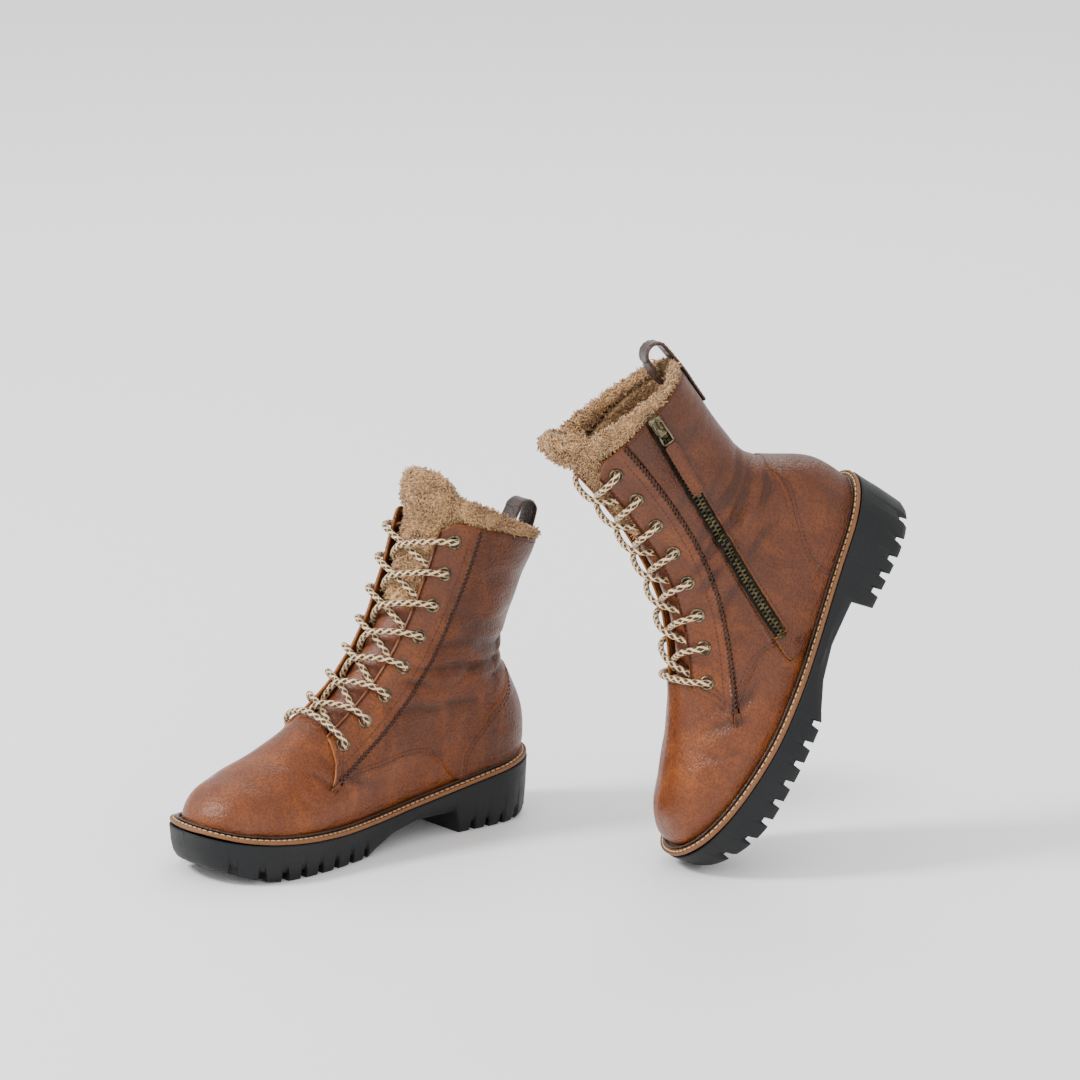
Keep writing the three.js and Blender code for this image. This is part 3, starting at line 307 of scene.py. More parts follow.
def leather_finish(name, light, mid, dark, raw, rough=0.4, coat=0.25, grain=1.0):
    f = Finish(name)
    cloud = f.noise(14, 4, 0.55)
    streak = f.noise(60, 4, 0.6, stretch=(1, 1, 0.45))
    base = f.colours(f.spread(cloud, 0.32, 0.66, 0.62, 1.0), dark, mid)
    base = f.colours(f.maths("MULTIPLY", f.spread(streak, 0.4, 0.8), 0.6), base, light)
    warp = f.noise(420, 2)
    place = f.node("ShaderNodeVectorMath", operation="ADD")
    shake = f.node("ShaderNodeVectorMath", operation="SCALE")
    f.feed(shake.inputs[0], f.node("ShaderNodeCombineXYZ").outputs[0])
    joiner = shake.inputs[0].links[0].from_node
    f.feed(joiner.inputs[0], warp)
    f.feed(joiner.inputs[2], warp)
    shake.inputs["Scale"].default_value = 0.0011
    f.feed(place.inputs[0], f.place)
    f.feed(place.inputs[1], shake.outputs[0])
    pebble = f.cells(620, place.outputs[0])
    fine = f.cells(1500, place.outputs[0])
    valleys = f.spread(pebble, 0.3, 0.8)
    base = f.colours(f.maths("MULTIPLY", valleys, 0.45), base, dark)
    rim = f.attribute("rim")
    base = f.colours(f.maths("MULTIPLY", f.spread(rim, 0.35, 1.0), 0.6), base, raw)
    # Painted shade: the leather is darkened in the folds, as far as they press it in.
    fold_shade = f.attribute("fold_shade")
    base = f.colours(f.maths("MULTIPLY", f.spread(fold_shade, 0.25, 1.6), 0.62), base, dark)
    # Painted shade: the shade attribute darkens the shaft, the heel, the back of the vamp and the zip pull.
    painted_shade = f.attribute("shade")
    base = f.colours(painted_shade, base, f.colours(0.62, base, dark))
    rub = f.noise(35, 5, 0.65)
    roughness = f.spread(rub, 0.3, 0.72, rough - 0.08, rough + 0.16)
    height = f.maths("ADD", f.maths("MULTIPLY", pebble, -1.0), f.maths("MULTIPLY", fine, -0.4))
    creases = f.noise(46, 5, 0.62, stretch=(1, 1, 4.5))
    first = f.bump(f.noise(150, 4, 0.6), 0.0006, 0.5, f.bump(creases, 0.0026 * grain, 0.55))
    normal = f.bump(height, 0.0005 * grain, 0.8, first)
    f.feed(f.shader.inputs["Coat Normal"], normal)
    return f.set(colour=base, rough=roughness, normal=normal, coat=coat, coat_rough=0.24, gloss=0.36)


def pile_finish(name, light, mid, dark):
    f = Finish(name)
    clump = f.noise(90, 4, 0.6)
    fleck = f.noise(700, 3, 0.6)
    base = f.colours(f.spread(clump, 0.34, 0.66), dark, mid)
    base = f.colours(f.spread(fleck, 0.4, 0.72), base, light)
    curl = f.noise(520, 4, 0.7)
    normal = f.bump(curl, 0.0012, 0.8, f.bump(clump, 0.003, 0.6))
    return f.set(colour=base, rough=0.92, normal=normal, sheen=0.45, sheen_rough=0.5, gloss=0.15)


def rubber_finish(name):
    f = Finish(name)
    dust = f.noise(26, 5, 0.65)
    base = f.colours(f.spread(dust, 0.35, 0.75), tone(7, 8, 10), tone(14, 16, 19))
    scuff = f.noise(150, 4, 0.7, stretch=(1, 1, 3))
    base = f.colours(f.maths("MULTIPLY", f.spread(scuff, 0.56, 0.8), 0.3), base, tone(34, 35, 37))
    normal = f.bump(f.noise(900, 3, 0.6), 0.00022, 0.5, f.bump(f.noise(60, 3), 0.0005, 0.3))
    return f.set(colour=base, rough=f.spread(dust, 0.3, 0.7, 0.46, 0.64), normal=normal, gloss=0.35)


def thread_finish(name, colour, dark):
    f = Finish(name)
    ply = f.noise(1800, 2, 0.5)
    base = f.colours(f.spread(ply, 0.35, 0.65), dark, colour)
    return f.set(colour=base, rough=0.72, normal=f.bump(ply, 0.0002, 0.6), sheen=0.2, sheen_rough=0.4)


def metal_finish(name, bright, dark, rough=0.34):
    f = Finish(name)
    tarnish = f.noise(260, 5, 0.65)
    base = f.colours(f.spread(tarnish, 0.36, 0.66), dark, bright)
    return f.set(colour=base, metal=1.0, rough=f.spread(tarnish, 0.3, 0.7, rough + 0.18, rough),
                 normal=f.bump(f.noise(1400, 3), 0.00008, 0.5))


def braid_finish(name):
    f = Finish(name)
    flat = f.node("ShaderNodeUVMap", uv_map="wrap").outputs[0]
    split = f.node("ShaderNodeSeparateXYZ")
    f.feed(split.inputs[0], flat)
    along, around = split.outputs[0], split.outputs[1]
    one = f.maths("FRACT", f.maths("ADD", along, f.maths("MULTIPLY", around, 3.0)))
    two = f.maths("FRACT", f.maths("SUBTRACT", along, f.maths("MULTIPLY", around, 3.0)))
    strand = f.maths("MULTIPLY", f.spread(one, 0.38, 0.44), f.spread(two, 0.12, 0.2))
    base = f.colours(f.maths("MULTIPLY", strand, 0.97), tone(236, 200, 146), tone(40, 20, 18))
    ridge = f.maths("MULTIPLY", f.maths("ABSOLUTE", f.maths("SINE", f.maths("MULTIPLY", one, 6.283))),
                    f.maths("ABSOLUTE", f.maths("SINE", f.maths("MULTIPLY", two, 6.283))))
    return f.set(colour=base, rough=0.8, normal=f.bump(ridge, 0.0004, 0.7), sheen=0.25, sheen_rough=0.4)


def tape_finish(name):
    f = Finish(name)
    weave = f.node("ShaderNodeTexWave", wave_type="BANDS", bands_direction="Z")
    f.feed(weave.inputs["Vector"], f.place)
    weave.inputs["Scale"].default_value = 420
    weave.inputs["Distortion"].default_value = 0.6
    base = f.colours(weave.outputs["Fac"], tone(14, 13, 13), tone(38, 35, 33))
    return f.set(colour=base, rough=0.85, normal=f.bump(weave.outputs["Fac"], 0.0002, 0.6))


def cork_finish(name, light, dark):
    f = Finish(name, solid=True)
    grain = f.cells(700)
    base = f.colours(f.spread(grain, 0.2, 0.6), light, dark)
    return f.set(colour=base, rough=0.9, normal=f.bump(grain, 0.0005, 0.6))


COGNAC = leather_finish("cognac_leather", tone(158, 82, 14), tone(114, 53, 5), tone(58, 23, 2), tone(190, 114, 44),
                        rough=0.38, coat=0.2, grain=0.65)
SHAFT = leather_finish("shaft_leather", tone(140, 71, 12), tone(100, 45, 5), tone(50, 20, 2), tone(176, 104, 40),
                       rough=0.42, coat=0.14)
TONGUE_LEATHER = leather_finish("tongue_leather", tone(154, 80, 14), tone(112, 52, 6), tone(58, 24, 3),
                                tone(176, 106, 44), rough=0.34, coat=0.25, grain=0.7)
DARK_LEATHER = leather_finish("dark_strap_leather", tone(72, 38, 22), tone(44, 22, 13), tone(22, 12, 8),
                              tone(90, 54, 34), rough=0.42)
WELT_LEATHER = leather_finish("welt_leather", tone(140, 92, 52), tone(108, 68, 38), tone(66, 40, 24),
                              tone(128, 84, 50), rough=0.55, coat=0.05, grain=0.6)
SHEARLING = pile_finish("shearling_pile", tone(230, 190, 136), tone(204, 156, 102), tone(142, 98, 58))
FLEECE = pile_finish("fleece_lining", tone(216, 176, 124), tone(186, 142, 94), tone(130, 92, 58))
SHANK_STEEL = Finish("shank_steel", solid=True).set(colour=tone(150, 152, 155), rough=0.35, metal=1.0)
SOLE_RUBBER = rubber_finish("black_sole_rubber")
WELT_THREAD = thread_finish("welt_thread", tone(226, 190, 140), tone(170, 132, 88))
SEAM_THREAD = thread_finish("seam_thread", tone(92, 42, 16), tone(48, 20, 8))
BRAID_THREAD = thread_finish("braid_thread", tone(70, 34, 20), tone(34, 16, 10))
BRASS = metal_finish("antique_brass", tone(140, 132, 108), tone(72, 64, 50), rough=0.28)
ZIP_BRASS = metal_finish("zip_brass", tone(94, 86, 62), tone(48, 44, 32), rough=0.3)
SLIDER_BRASS = metal_finish("slider_brass", tone(136, 128, 100), tone(74, 66, 46), rough=0.26)
NICKEL = metal_finish("rivet_nickel", tone(226, 224, 216), tone(150, 148, 142), rough=0.2)
EYE_DARK = thread_finish("eyelet_shadow", tone(26, 22, 18), tone(14, 12, 10))
LACE_BRAID = braid_finish("lace_braid")
ZIP_TAPE = tape_finish("zip_tape_weave")
CORK = cork_finish("cork_crumb", tone(170, 132, 92), tone(110, 80, 52))
BOARD = cork_finish("fibre_board_flecks", tone(168, 140, 104), tone(128, 102, 72))

# ---------------------------------------------------------------- making and setting down pieces

SIDES = ("right", "left")
made = {}


def build(name, points, faces, finish, notes=None, wrap=None):
    mesh = bpy.data.meshes.new(name)
    mesh.from_pydata([tuple(p) for p in points], [], [tuple(int(i) for i in face) for face in faces])
    mesh.materials.append(finish)
    for key, values in (notes or {}).items():
        mesh.attributes.new(key, "FLOAT", "POINT").data.foreach_set("value", np.asarray(values, np.float32).ravel())
    if wrap is not None:
        layer = mesh.uv_layers.new(name="wrap")
        layer.data.foreach_set("uv", np.asarray(wrap, np.float32).ravel())
    mesh.shade_smooth()
    mesh.update()
    piece = bpy.data.objects.new(name, mesh)
    scene.collection.objects.link(piece)
    return piece


def both(name, points, faces, finish, nodes=(), slot="leather", body="boot", notes=None, wrap=None, flat=False):
    """Set a piece down on each boot, and let it ride and stand for its solids."""
    points = np.asarray(points, float)
    pair = []
    for side in SIDES:
        turned = [list(face)[::-1] for face in faces] if side == "right" else [list(face) for face in faces]
        laid = wrap
        if wrap is not None and side == "right":
            laid, at = [], 0
            for face in faces:
                laid.extend(list(wrap[at:at + len(face)])[::-1])
                at += len(face)
        piece = build(f"{side}_{name}", set_down(points, side), turned, finish, notes, laid)
        spot = points * 0.001 + (0 if side == "left" else 0.37)
        piece.data.attributes.new("place", "FLOAT_VECTOR", "POINT").data.foreach_set("vector", spot.astype(np.float32).ravel())
        if flat:
            piece.data.shade_flat()
        if nodes:
            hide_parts(*[f"{side}_{node}" for node in nodes])
        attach(piece, f"{side}_{body}")
        pair.append(piece)
    made[name] = pair
    return pair


def grid_faces(rows, columns, start=0, turn=False):
    r, c = np.meshgrid(np.arange(rows - 1), np.arange(columns - 1), indexing="ij")
    a = start + r * columns + c
    quads = np.stack([a, a + 1, a + columns + 1, a + columns], -1).reshape(-1, 4)
    return quads[:, ::-1] if turn else quads


def slab_faces(rows, columns):
    """Faces of a closed sheet whose outer grid comes first and inner grid second."""
    size = rows * columns
    faces = [*grid_faces(rows, columns), *grid_faces(rows, columns, size, True)]
    rim = [*range(columns - 1), *[r * columns + columns - 1 for r in range(rows - 1)],
           *[(rows - 1) * columns + k for k in range(columns - 1, 0, -1)], *[r * columns for r in range(rows - 1, 0, -1)]]
    for k, a in enumerate(rim):
        b = rim[(k + 1) % len(rim)]
        faces.append((a, size + a, size + b, b))
    return faces


def outward_order(points, faces):
    """Faces turned so that the closed shape's volume is positive."""
    volume = 0.0
    for face in faces:
        p = points[list(face)]
        for k in range(1, len(face) - 1):
            volume += float(np.dot(p[0], np.cross(p[k], p[k + 1])))
    return [tuple(face)[::-1] for face in faces] if volume < 0 else [tuple(face) for face in faces]


def uneven(count, near=0.006):
    """Steps from 0 to 1 with extra ones close to both ends, where an edge rolls over."""
    inner = np.linspace(0.04, 0.96, count)
    return np.concatenate([[0, near, near * 2.4], inner, [1 - near * 2.4, 1 - near, 1]])


def edge_distance(points, free):
    """How far each grid point is from the free edges: left, right, first row, last row."""
    across = np.linalg.norm(np.diff(points, axis=1), axis=-1)
    down = np.linalg.norm(np.diff(points, axis=0), axis=-1)
    left = np.concatenate([np.zeros((points.shape[0], 1)), np.cumsum(across, 1)], 1)
    top = np.concatenate([np.zeros((1, points.shape[1])), np.cumsum(down, 0)], 0)
    far = np.full(points.shape[:2], 1e3)
    options = (left, left[:, -1:] - left, top, top[-1:] - top)
    for use, distance in zip(free, options):
        if use:
            far = np.minimum(far, distance)
    return far


def panel(name, y, z, side, finish, nodes, depth=0.0, thickness=1.7, lip=1.0, free=(1, 1, 1, 1), shade=None,
          slot="leather", body="boot", worn=1.0):
    """Leather cut to a grid of places on the boot, with rolled edges."""
    side = np.broadcast_to(np.asarray(side, float), y.shape)
    face = skin(y, z, side, depth, worn)
    gap = edge_distance(face, free)
    t = np.clip(gap / lip, 0, 1)
    drop = lip * (1 - np.sqrt(np.maximum(1 - (1 - t) ** 2, 0)))
    outer = skin(y, z, side, depth + drop, worn)
    inner = skin(y, z, side, depth + thickness, worn)
    points = np.concatenate([outer.reshape(-1, 3), inner.reshape(-1, 3)])
    rows, columns = y.shape
    faces = outward_order(points, slab_faces(rows, columns))
    rim = np.clip(1 - gap / 1.5, 0, 1)
    # Painted shade for the folds: how far each fold presses the leather in.
    fold_shade = np.maximum(folds(y, z, side), 0) * worn
    dim = np.zeros_like(y) if shade is None else shade(y, z)
    notes = {"rim": np.concatenate([rim.ravel(), np.ones(rim.size)]),
             "fold_shade": np.tile(fold_shade.ravel(), 2), "shade": np.tile(dim.ravel(), 2)}
    return both(name, points, faces, finish, nodes, slot, body, notes)


def curve_through(points, count, even=True):
    """A smooth line through side-view or space points, in steps of even length."""
    points = np.asarray(points, float)
    rows = np.concatenate([np.arange(len(points))[:, None], points], 1)
    fine = through(rows, np.linspace(0, len(points) - 1, 60 * len(points)))
    if not even:
        return through(rows, np.linspace(0, len(points) - 1, count))
    run = np.concatenate([[0], np.cumsum(np.linalg.norm(np.diff(fine, axis=0), axis=1))])
    want = np.linspace(0, run[-1], count)
    return np.stack([np.interp(want, run, fine[:, k]) for k in range(points.shape[1])], -1)


def at_shares(line, shares):
    run = np.linspace(0, 1, len(line))
    return np.stack([np.interp(shares, run, line[:, k]) for k in range(line.shape[1])], -1)


def coons(bottom, top, left, right, v, u):
    """Side-view grid between four edge lines, each a fine line of points."""
    b, t, l, r = at_shares(bottom, u), at_shares(top, u), at_shares(left, v), at_shares(right, v)
    V, U = v[:, None, None], u[None, :, None]
    return ((1 - V) * b[None] + V * t[None] + (1 - U) * l[:, None] + U * r[:, None]
            - (1 - U) * ((1 - V) * b[0] + V * t[0]) - U * ((1 - V) * b[-1] + V * t[-1]))


# ---------------------------------------------------------------- laying out repeated shapes

def layout_tree(finish):
    """Geometry Nodes: one copy of a shape on every point, turned and sized by the point."""
    tree = bpy.data.node_groups.new("laid_in_rows", "GeometryNodeTree")
    face = tree.interface
    face.new_socket(name="Points", in_out="INPUT", socket_type="NodeSocketGeometry")
    shape = face.new_socket(name="Shape", in_out="INPUT", socket_type="NodeSocketObject")
    size = face.new_socket(name="Size", in_out="INPUT", socket_type="NodeSocketFloat")
    face.new_socket(name="Rows", in_out="OUTPUT", socket_type="NodeSocketGeometry")
    add, link = tree.nodes.new, tree.links.new
    start, end = add("NodeGroupInput"), add("NodeGroupOutput")
    info = add("GeometryNodeObjectInfo")
    turn = add("GeometryNodeInputNamedAttribute")
    turn.data_type = "FLOAT_VECTOR"
    turn.inputs["Name"].default_value = "turn"
    spin = add("FunctionNodeEulerToRotation")
    scale = add("GeometryNodeInputNamedAttribute")
    scale.data_type = "FLOAT_VECTOR"
    scale.inputs["Name"].default_value = "stretch"
    grow = add("ShaderNodeVectorMath")
    grow.operation = "SCALE"
    copies, real, coat = add("GeometryNodeInstanceOnPoints"), add("GeometryNodeRealizeInstances"), add("GeometryNodeSetMaterial")
    coat.inputs["Material"].default_value = finish
    link(start.outputs[0], copies.inputs["Points"])
    link(start.outputs[1], info.inputs["Object"])
    link(info.outputs["Geometry"], copies.inputs["Instance"])
    link(turn.outputs["Attribute"], spin.inputs[0])
    link(spin.outputs[0], copies.inputs["Rotation"])
    link(scale.outputs["Attribute"], grow.inputs[0])
    link(start.outputs[2], grow.inputs["Scale"])
    link(grow.outputs[0], copies.inputs["Scale"])
    link(copies.outputs[0], real.inputs[0])
    link(real.outputs[0], coat.inputs[0])
    link(coat.outputs[0], end.inputs[0])
    return tree, shape.identifier, size.identifier


def read_mesh(piece):
    """Points and faces of a piece with its modifiers worked out, which is then removed."""
    bpy.context.view_layer.update()
    made_mesh = bpy.data.meshes.new_from_object(piece.evaluated_get(bpy.context.evaluated_depsgraph_get()))
    points = np.zeros(len(made_mesh.vertices) * 3)
    made_mesh.vertices.foreach_get("co", points)
    faces = [tuple(p.vertices) for p in made_mesh.polygons]
    bpy.data.meshes.remove(made_mesh)
    bpy.data.objects.remove(piece)
    return points.reshape(-1, 3), faces


def turns(axes):
    """Euler angles that take X, Y, Z to the columns of each 3 by 3 array."""
    m = np.asarray(axes, float)
    y = np.arcsin(np.clip(-m[:, 2, 0], -1, 1))
    return np.stack([np.arctan2(m[:, 2, 1], m[:, 2, 2]), y, np.arctan2(m[:, 1, 0], m[:, 0, 0])], -1)


def lay_out(name, places, ahead, out, shape, finish, stretch=(1, 1, 1), **kw):
    """Copies of a shape: its X goes ahead along the row and its Z outwards."""
    places, ahead, out = (np.asarray(a, float) for a in (places, ahead, out))
    ahead = ahead / np.linalg.norm(ahead, axis=1, keepdims=True)
    out = out - ahead * np.sum(ahead * out, 1, keepdims=True)
    out = out / np.linalg.norm(out, axis=1, keepdims=True)
    axes = np.stack([ahead, np.cross(out, ahead), out], -1)
    mesh = bpy.data.meshes.new("row_points")
    mesh.from_pydata([tuple(p) for p in places], [], [])
    mesh.attributes.new("turn", "FLOAT_VECTOR", "POINT").data.foreach_set("vector", turns(axes).astype(np.float32).ravel())
    sizes = np.broadcast_to(np.asarray(stretch, float), places.shape)
    mesh.attributes.new("stretch", "FLOAT_VECTOR", "POINT").data.foreach_set("vector", sizes.astype(np.float32).ravel())
    holder = bpy.data.objects.new("row_points", mesh)
    scene.collection.objects.link(holder)
    tree, shape_id, size_id = layout_tree(finish)
    step = holder.modifiers.new("rows", "NODES")
    step.node_group = tree
    step[shape_id] = shape
    step[size_id] = 1.0
    points, faces = read_mesh(holder)
    return both(name, points, faces, finish, **kw)


def template(name, points, faces):
    mesh = bpy.data.meshes.new(name)
    mesh.from_pydata([tuple(p) for p in points], [], [tuple(f) for f in faces])
    piece = bpy.data.objects.new(name, mesh)
    return piece


def bead(length, width, height, rings=4, sides=6):
    """A plump stitch lying along X."""
    points, faces = [(-length / 2, 0, 0)], []
    for r in range(1, rings):
        share = r / rings
        x = -math.cos(math.pi * share) * length / 2
        swell = math.sin(math.pi * share) ** 0.55
        for k in range(sides):
            a = 2 * math.pi * k / sides
            points.append((x, math.cos(a) * width / 2 * swell, math.sin(a) * height / 2 * swell))
    points.append((length / 2, 0, 0))
    last = len(points) - 1
    for k in range(sides):
        n = (k + 1) % sides
        faces.append((0, 1 + n, 1 + k))
        for r in range(rings - 2):
            a, b = 1 + r * sides, 1 + (r + 1) * sides
            faces.append((a + k, a + n, b + n, b + k))
        a = 1 + (rings - 2) * sides
        faces.append((a + k, a + n, last))
    return points, faces


STITCH = template("stitch_shape", *bead(1.0, 1.0, 1.0))


def row_places(line, spacing, side, lift, offset=0.0):
    """Evenly spaced places on the boot along a side-view line, with the way ahead and outwards."""
    fine = curve_through(line, 400)
    side = np.full(len(fine), float(side))
    path = skin(fine[:, 0], fine[:, 1], side, -lift)
    run = np.concatenate([[0], np.cumsum(np.linalg.norm(np.diff(path, axis=0), axis=1))])
    want = np.arange(spacing / 2 + offset, run[-1], spacing)
    pick = lambda values: np.stack([np.interp(want, run, values[:, k]) for k in range(values.shape[1])], -1)
    place = pick(path)
    seat = pick(fine)
    ahead = pick(np.gradient(path, axis=0))
    return place, ahead, outward(seat[:, 0], seat[:, 1], side[:len(seat)])


def stitches(name, lines, finish=None, spacing=3.1, size=(2.5, 0.8, 0.7), lift=0.15, slot="leather", nodes=()):
    parts = [row_places(line, spacing, side, lift) for line, side in lines]
    places, ahead, out = (np.concatenate([p[k] for p in parts]) for k in range(3))
    return lay_out(name, places, ahead, out, STITCH, finish or SEAM_THREAD, size, slot=slot, nodes=nodes)


# ---------------------------------------------------------------- bottom unit

HEEL = float(back(46.0))
WELT_LEDGE, WELT_THICKNESS, SOLE_SEAT = 6.2, 3.0, 0.6
LUG_DEPTH, GROOVE, HEEL_BREAST, ARCH = 6.0, 4.4, 64.0, 15.5


def lengthwise(count):
    t = np.linspace(0, 1, count)
    return np.clip((TOE + HEEL) / 2 - ((HEEL - TOE) / 2) * np.cos(np.pi * t), TOE + 0.001, HEEL - 0.001)


def edge_line(depth, count=120):
    """Closed line round the upper's lower edge, a depth inside it, outer side first."""
    y = lengthwise(count)
    outer = skin(y, feather(y), np.ones_like(y), depth, 0)
    inner = skin(y, feather(y), -np.ones_like(y), depth, 0)
    return np.concatenate([outer, inner[1:-1][::-1]])


def closed_ring(name, section, finish, count=120, **kw):
    """A strip round the boot: section gives depth from the upper's edge and height over it."""
    rings = []
    for depth, lift in section:
        line = edge_line(depth, count)
        line[:, 2] = feather(line[:, 1]) + lift
        rings.append(line)
    n, m = len(rings[0]), len(section)
    points = np.stack(rings, 1).reshape(-1, 3)
    faces = [(r * m + k, r * m + (k + 1) % m, ((r + 1) % n) * m + (k + 1) % m, ((r + 1) % n) * m + k)
             for r in range(n) for k in range(m)]
    faces = outward_order(points, faces)
    rim = np.tile([1.0 if depth < -5.2 else 0.0 for depth, _ in section], n)
    zero = np.zeros(len(points))
    return both(name, points, faces, finish, notes={"rim": rim, "fold_shade": zero, "shade": zero}, **kw)


closed_ring("welt_strip", [(3.3, -3), (3.3, -0.4), (0.6, -0.3), (-0.8, -0.35), (-1.5, -0.3), (-2.6, -0.75), (-4.2, -0.75),
                           (-4.9, -0.3), (-5.3, -0.4), (-5.7, -0.9), (-5.75, -2.4), (-5.5, -3)],
            WELT_LEATHER, nodes=["welt"], slot="welt_leather")
turning = np.linspace(0, 2 * np.pi, 9)[:-1]
closed_ring("rand_bead", [(-0.5 + 1.0 * math.cos(a), 0.75 + 1.05 * math.sin(a)) for a in turning], DARK_LEATHER,
            slot="dark_leather")

loop = edge_line(-3.4, 400)
loop[:, 2] = feather(loop[:, 1]) - 0.45
loop = np.concatenate([loop, loop[:1]])
run = np.concatenate([[0], np.cumsum(np.linalg.norm(np.diff(loop, axis=0), axis=1))])
want = np.linspace(0, run[-1], int(run[-1] / 4.3), endpoint=False)
seat = np.stack([np.interp(want, run, loop[:, k]) for k in range(3)], -1)
ahead = np.roll(seat, -1, 0) - np.roll(seat, 1, 0)
lay_out("welt_stitching", seat, ahead, np.tile([0, 0, 1.0], (len(seat), 1)), STITCH, WELT_THREAD, (3.7, 1.35, 1.1),
        slot="lace")


def tread(y):
    return 14 * np.clip((-90 - y) / 52, 0, 1) ** 1.8


def sole_bottom(y):
    """Height of the underside, with its grooves and arch."""
    low = tread(y)
    arch = np.interp(y, [-20, -12, 6, 30, HEEL_BREAST - 3, HEEL_BREAST], [0, 4, ARCH - 4.5, ARCH, ARCH, 0],
                     left=0, right=0)
    low = np.maximum(low, arch)
    grooves = [-22 - i * 14.6 for i in range(8)] + [HEEL_BREAST + (i + 0.9) * 12.5 for i in range(5)]
    for centre in grooves:
        rise = np.clip((GROOVE / 2 + 0.45 - np.abs(y - centre)) / 1.1, 0, 1)
        low = np.maximum(low, tread(np.full_like(y, centre)) * 0 + tread(y) + LUG_DEPTH * rise)
    return low


def sole():
    y = lengthwise(130)
    extra = []
    for centre in [-22 - i * 14.6 for i in range(8)] + [HEEL_BREAST + (i + 0.9) * 12.5 for i in range(5)]:
        for off in (GROOVE / 2 + 0.75, GROOVE / 2 + 0.45, GROOVE / 2, GROOVE / 2 - 0.65, GROOVE / 2 - 0.9, 0.4):
            extra += [centre - off, centre + off]
    extra += [-20, -12, 6, 30, HEEL_BREAST - 3.1, HEEL_BREAST - 2.7, HEEL_BREAST - 0.2, HEEL_BREAST + 0.3]
    y = np.unique(np.round(np.concatenate([y, extra]), 3))
    y = y[(y > TOE) & (y < HEEL)]
    y = np.concatenate([[TOE + 0.001], y, [HEEL - 0.001]])
    y = y[np.concatenate([[True], np.diff(y) > 1e-4])]
    top = feather(y) - WELT_THICKNESS - SOLE_SEAT
    low = sole_bottom(y)
    sections = []
    levels = [(0, 0.5, 0), (0, 0.12, 0.35), (0, 0, 0.9), (0.12, 0, 1.5), (0.5, 0.15, 0), (0.88, 0.75, -4.8),
              (0.97, 1.6, -2.4), (1, 2.3, -0.7), (1, 3.0, 0)]
    for sign in (1, -1):
        edge = skin(y, feather(y), np.full_like(y, sign), -WELT_LEDGE, 0)
        near_end = np.abs(np.cos(np.pi * (y - TOE) / (HEEL - TOE))) ** 8
        ring = []
        for share, tuck, drop in levels:
            lean = tuck + near_end * share * np.where(y > 0, 2.2, 2.0)
            x = sign * np.maximum(np.abs(edge[:, 0]) - tuck, 0)
            py = edge[:, 1] - np.sign(y) * lean * near_end
            z = np.where(share < 0.5, top - drop, low - np.minimum(drop, 0) * (share > 0.5))
            z = np.where(share == 0.5, (top + low) / 2, z)
            ring.append(np.stack([x, py, z], -1))
        sections.append(ring if sign > 0 else ring[::-1])
    ring = np.stack(sections[0] + sections[1], 1)
    n, m = ring.shape[:2]
    points = ring.reshape(-1, 3)
    faces = [(r * m + k, r * m + (k + 1) % m, (r + 1) * m + (k + 1) % m, (r + 1) * m + k)
             for r in range(n - 1) for k in range(m)]
    faces += [tuple(range(m)), tuple((n - 1) * m + k for k in range(m))[::-1]]
    return points, outward_order(points, faces)


pair = both("lug_sole", *sole(), SOLE_RUBBER, nodes=["outsole"], slot="rubber")
for piece in pair:
    piece.data.set_sharp_from_angle(angle=math.radians(38))

# ---------------------------------------------------------------- leather upper

FACING_INSET, EYELET_INSET, SEAM_INSET = 9.0, 18.8, 34.0
EDGE = 0.6


def throat(inset):
    return 4.12 - (0.4 * (inset - FACING_INSET)) / 27


WING = np.array([[-29, 57.5], [-5, 58], [20, 61], [38, 59], [52, 51], [60, 40]], float)
COUNTER_SEAM = np.array([[67, 36], [70, 56], [79, 68], [92, 81], [106, 94], [117.5, 108]], float)
scan = np.linspace(60, 130, 4000)
sy, sz = fan(np.full_like(scan, COLLAR), scan)
hit = int(np.argmax(sy >= back(sz) - 0.05))
COLLAR_BACK = np.array([sy[hit], sz[hit]])


def dim_shaft(y, z):
    """Painted shade: the shaft and heel are a little darker than the toe."""
    return np.clip(0.12 + 0.5 * smooth(z, 90, 200) + 0.35 * smooth(y, 60, 125) * smooth(-z, -100, -40), 0, 0.7)


def dim_vamp(y, z):
    # Painted shade: the vamp darkens from the toe back towards the instep.
    return np.clip(0.3 * smooth(y, -60, 10), 0, 1)


def station_near(y):
    low, high = np.zeros_like(y), np.full_like(y, 13.0)
    for _ in range(26):
        p = (low + high) / 2
        under = station(p)[0] < y
        low, high = np.where(under, p, low), np.where(under, high, p)
    return (low + high) / 2


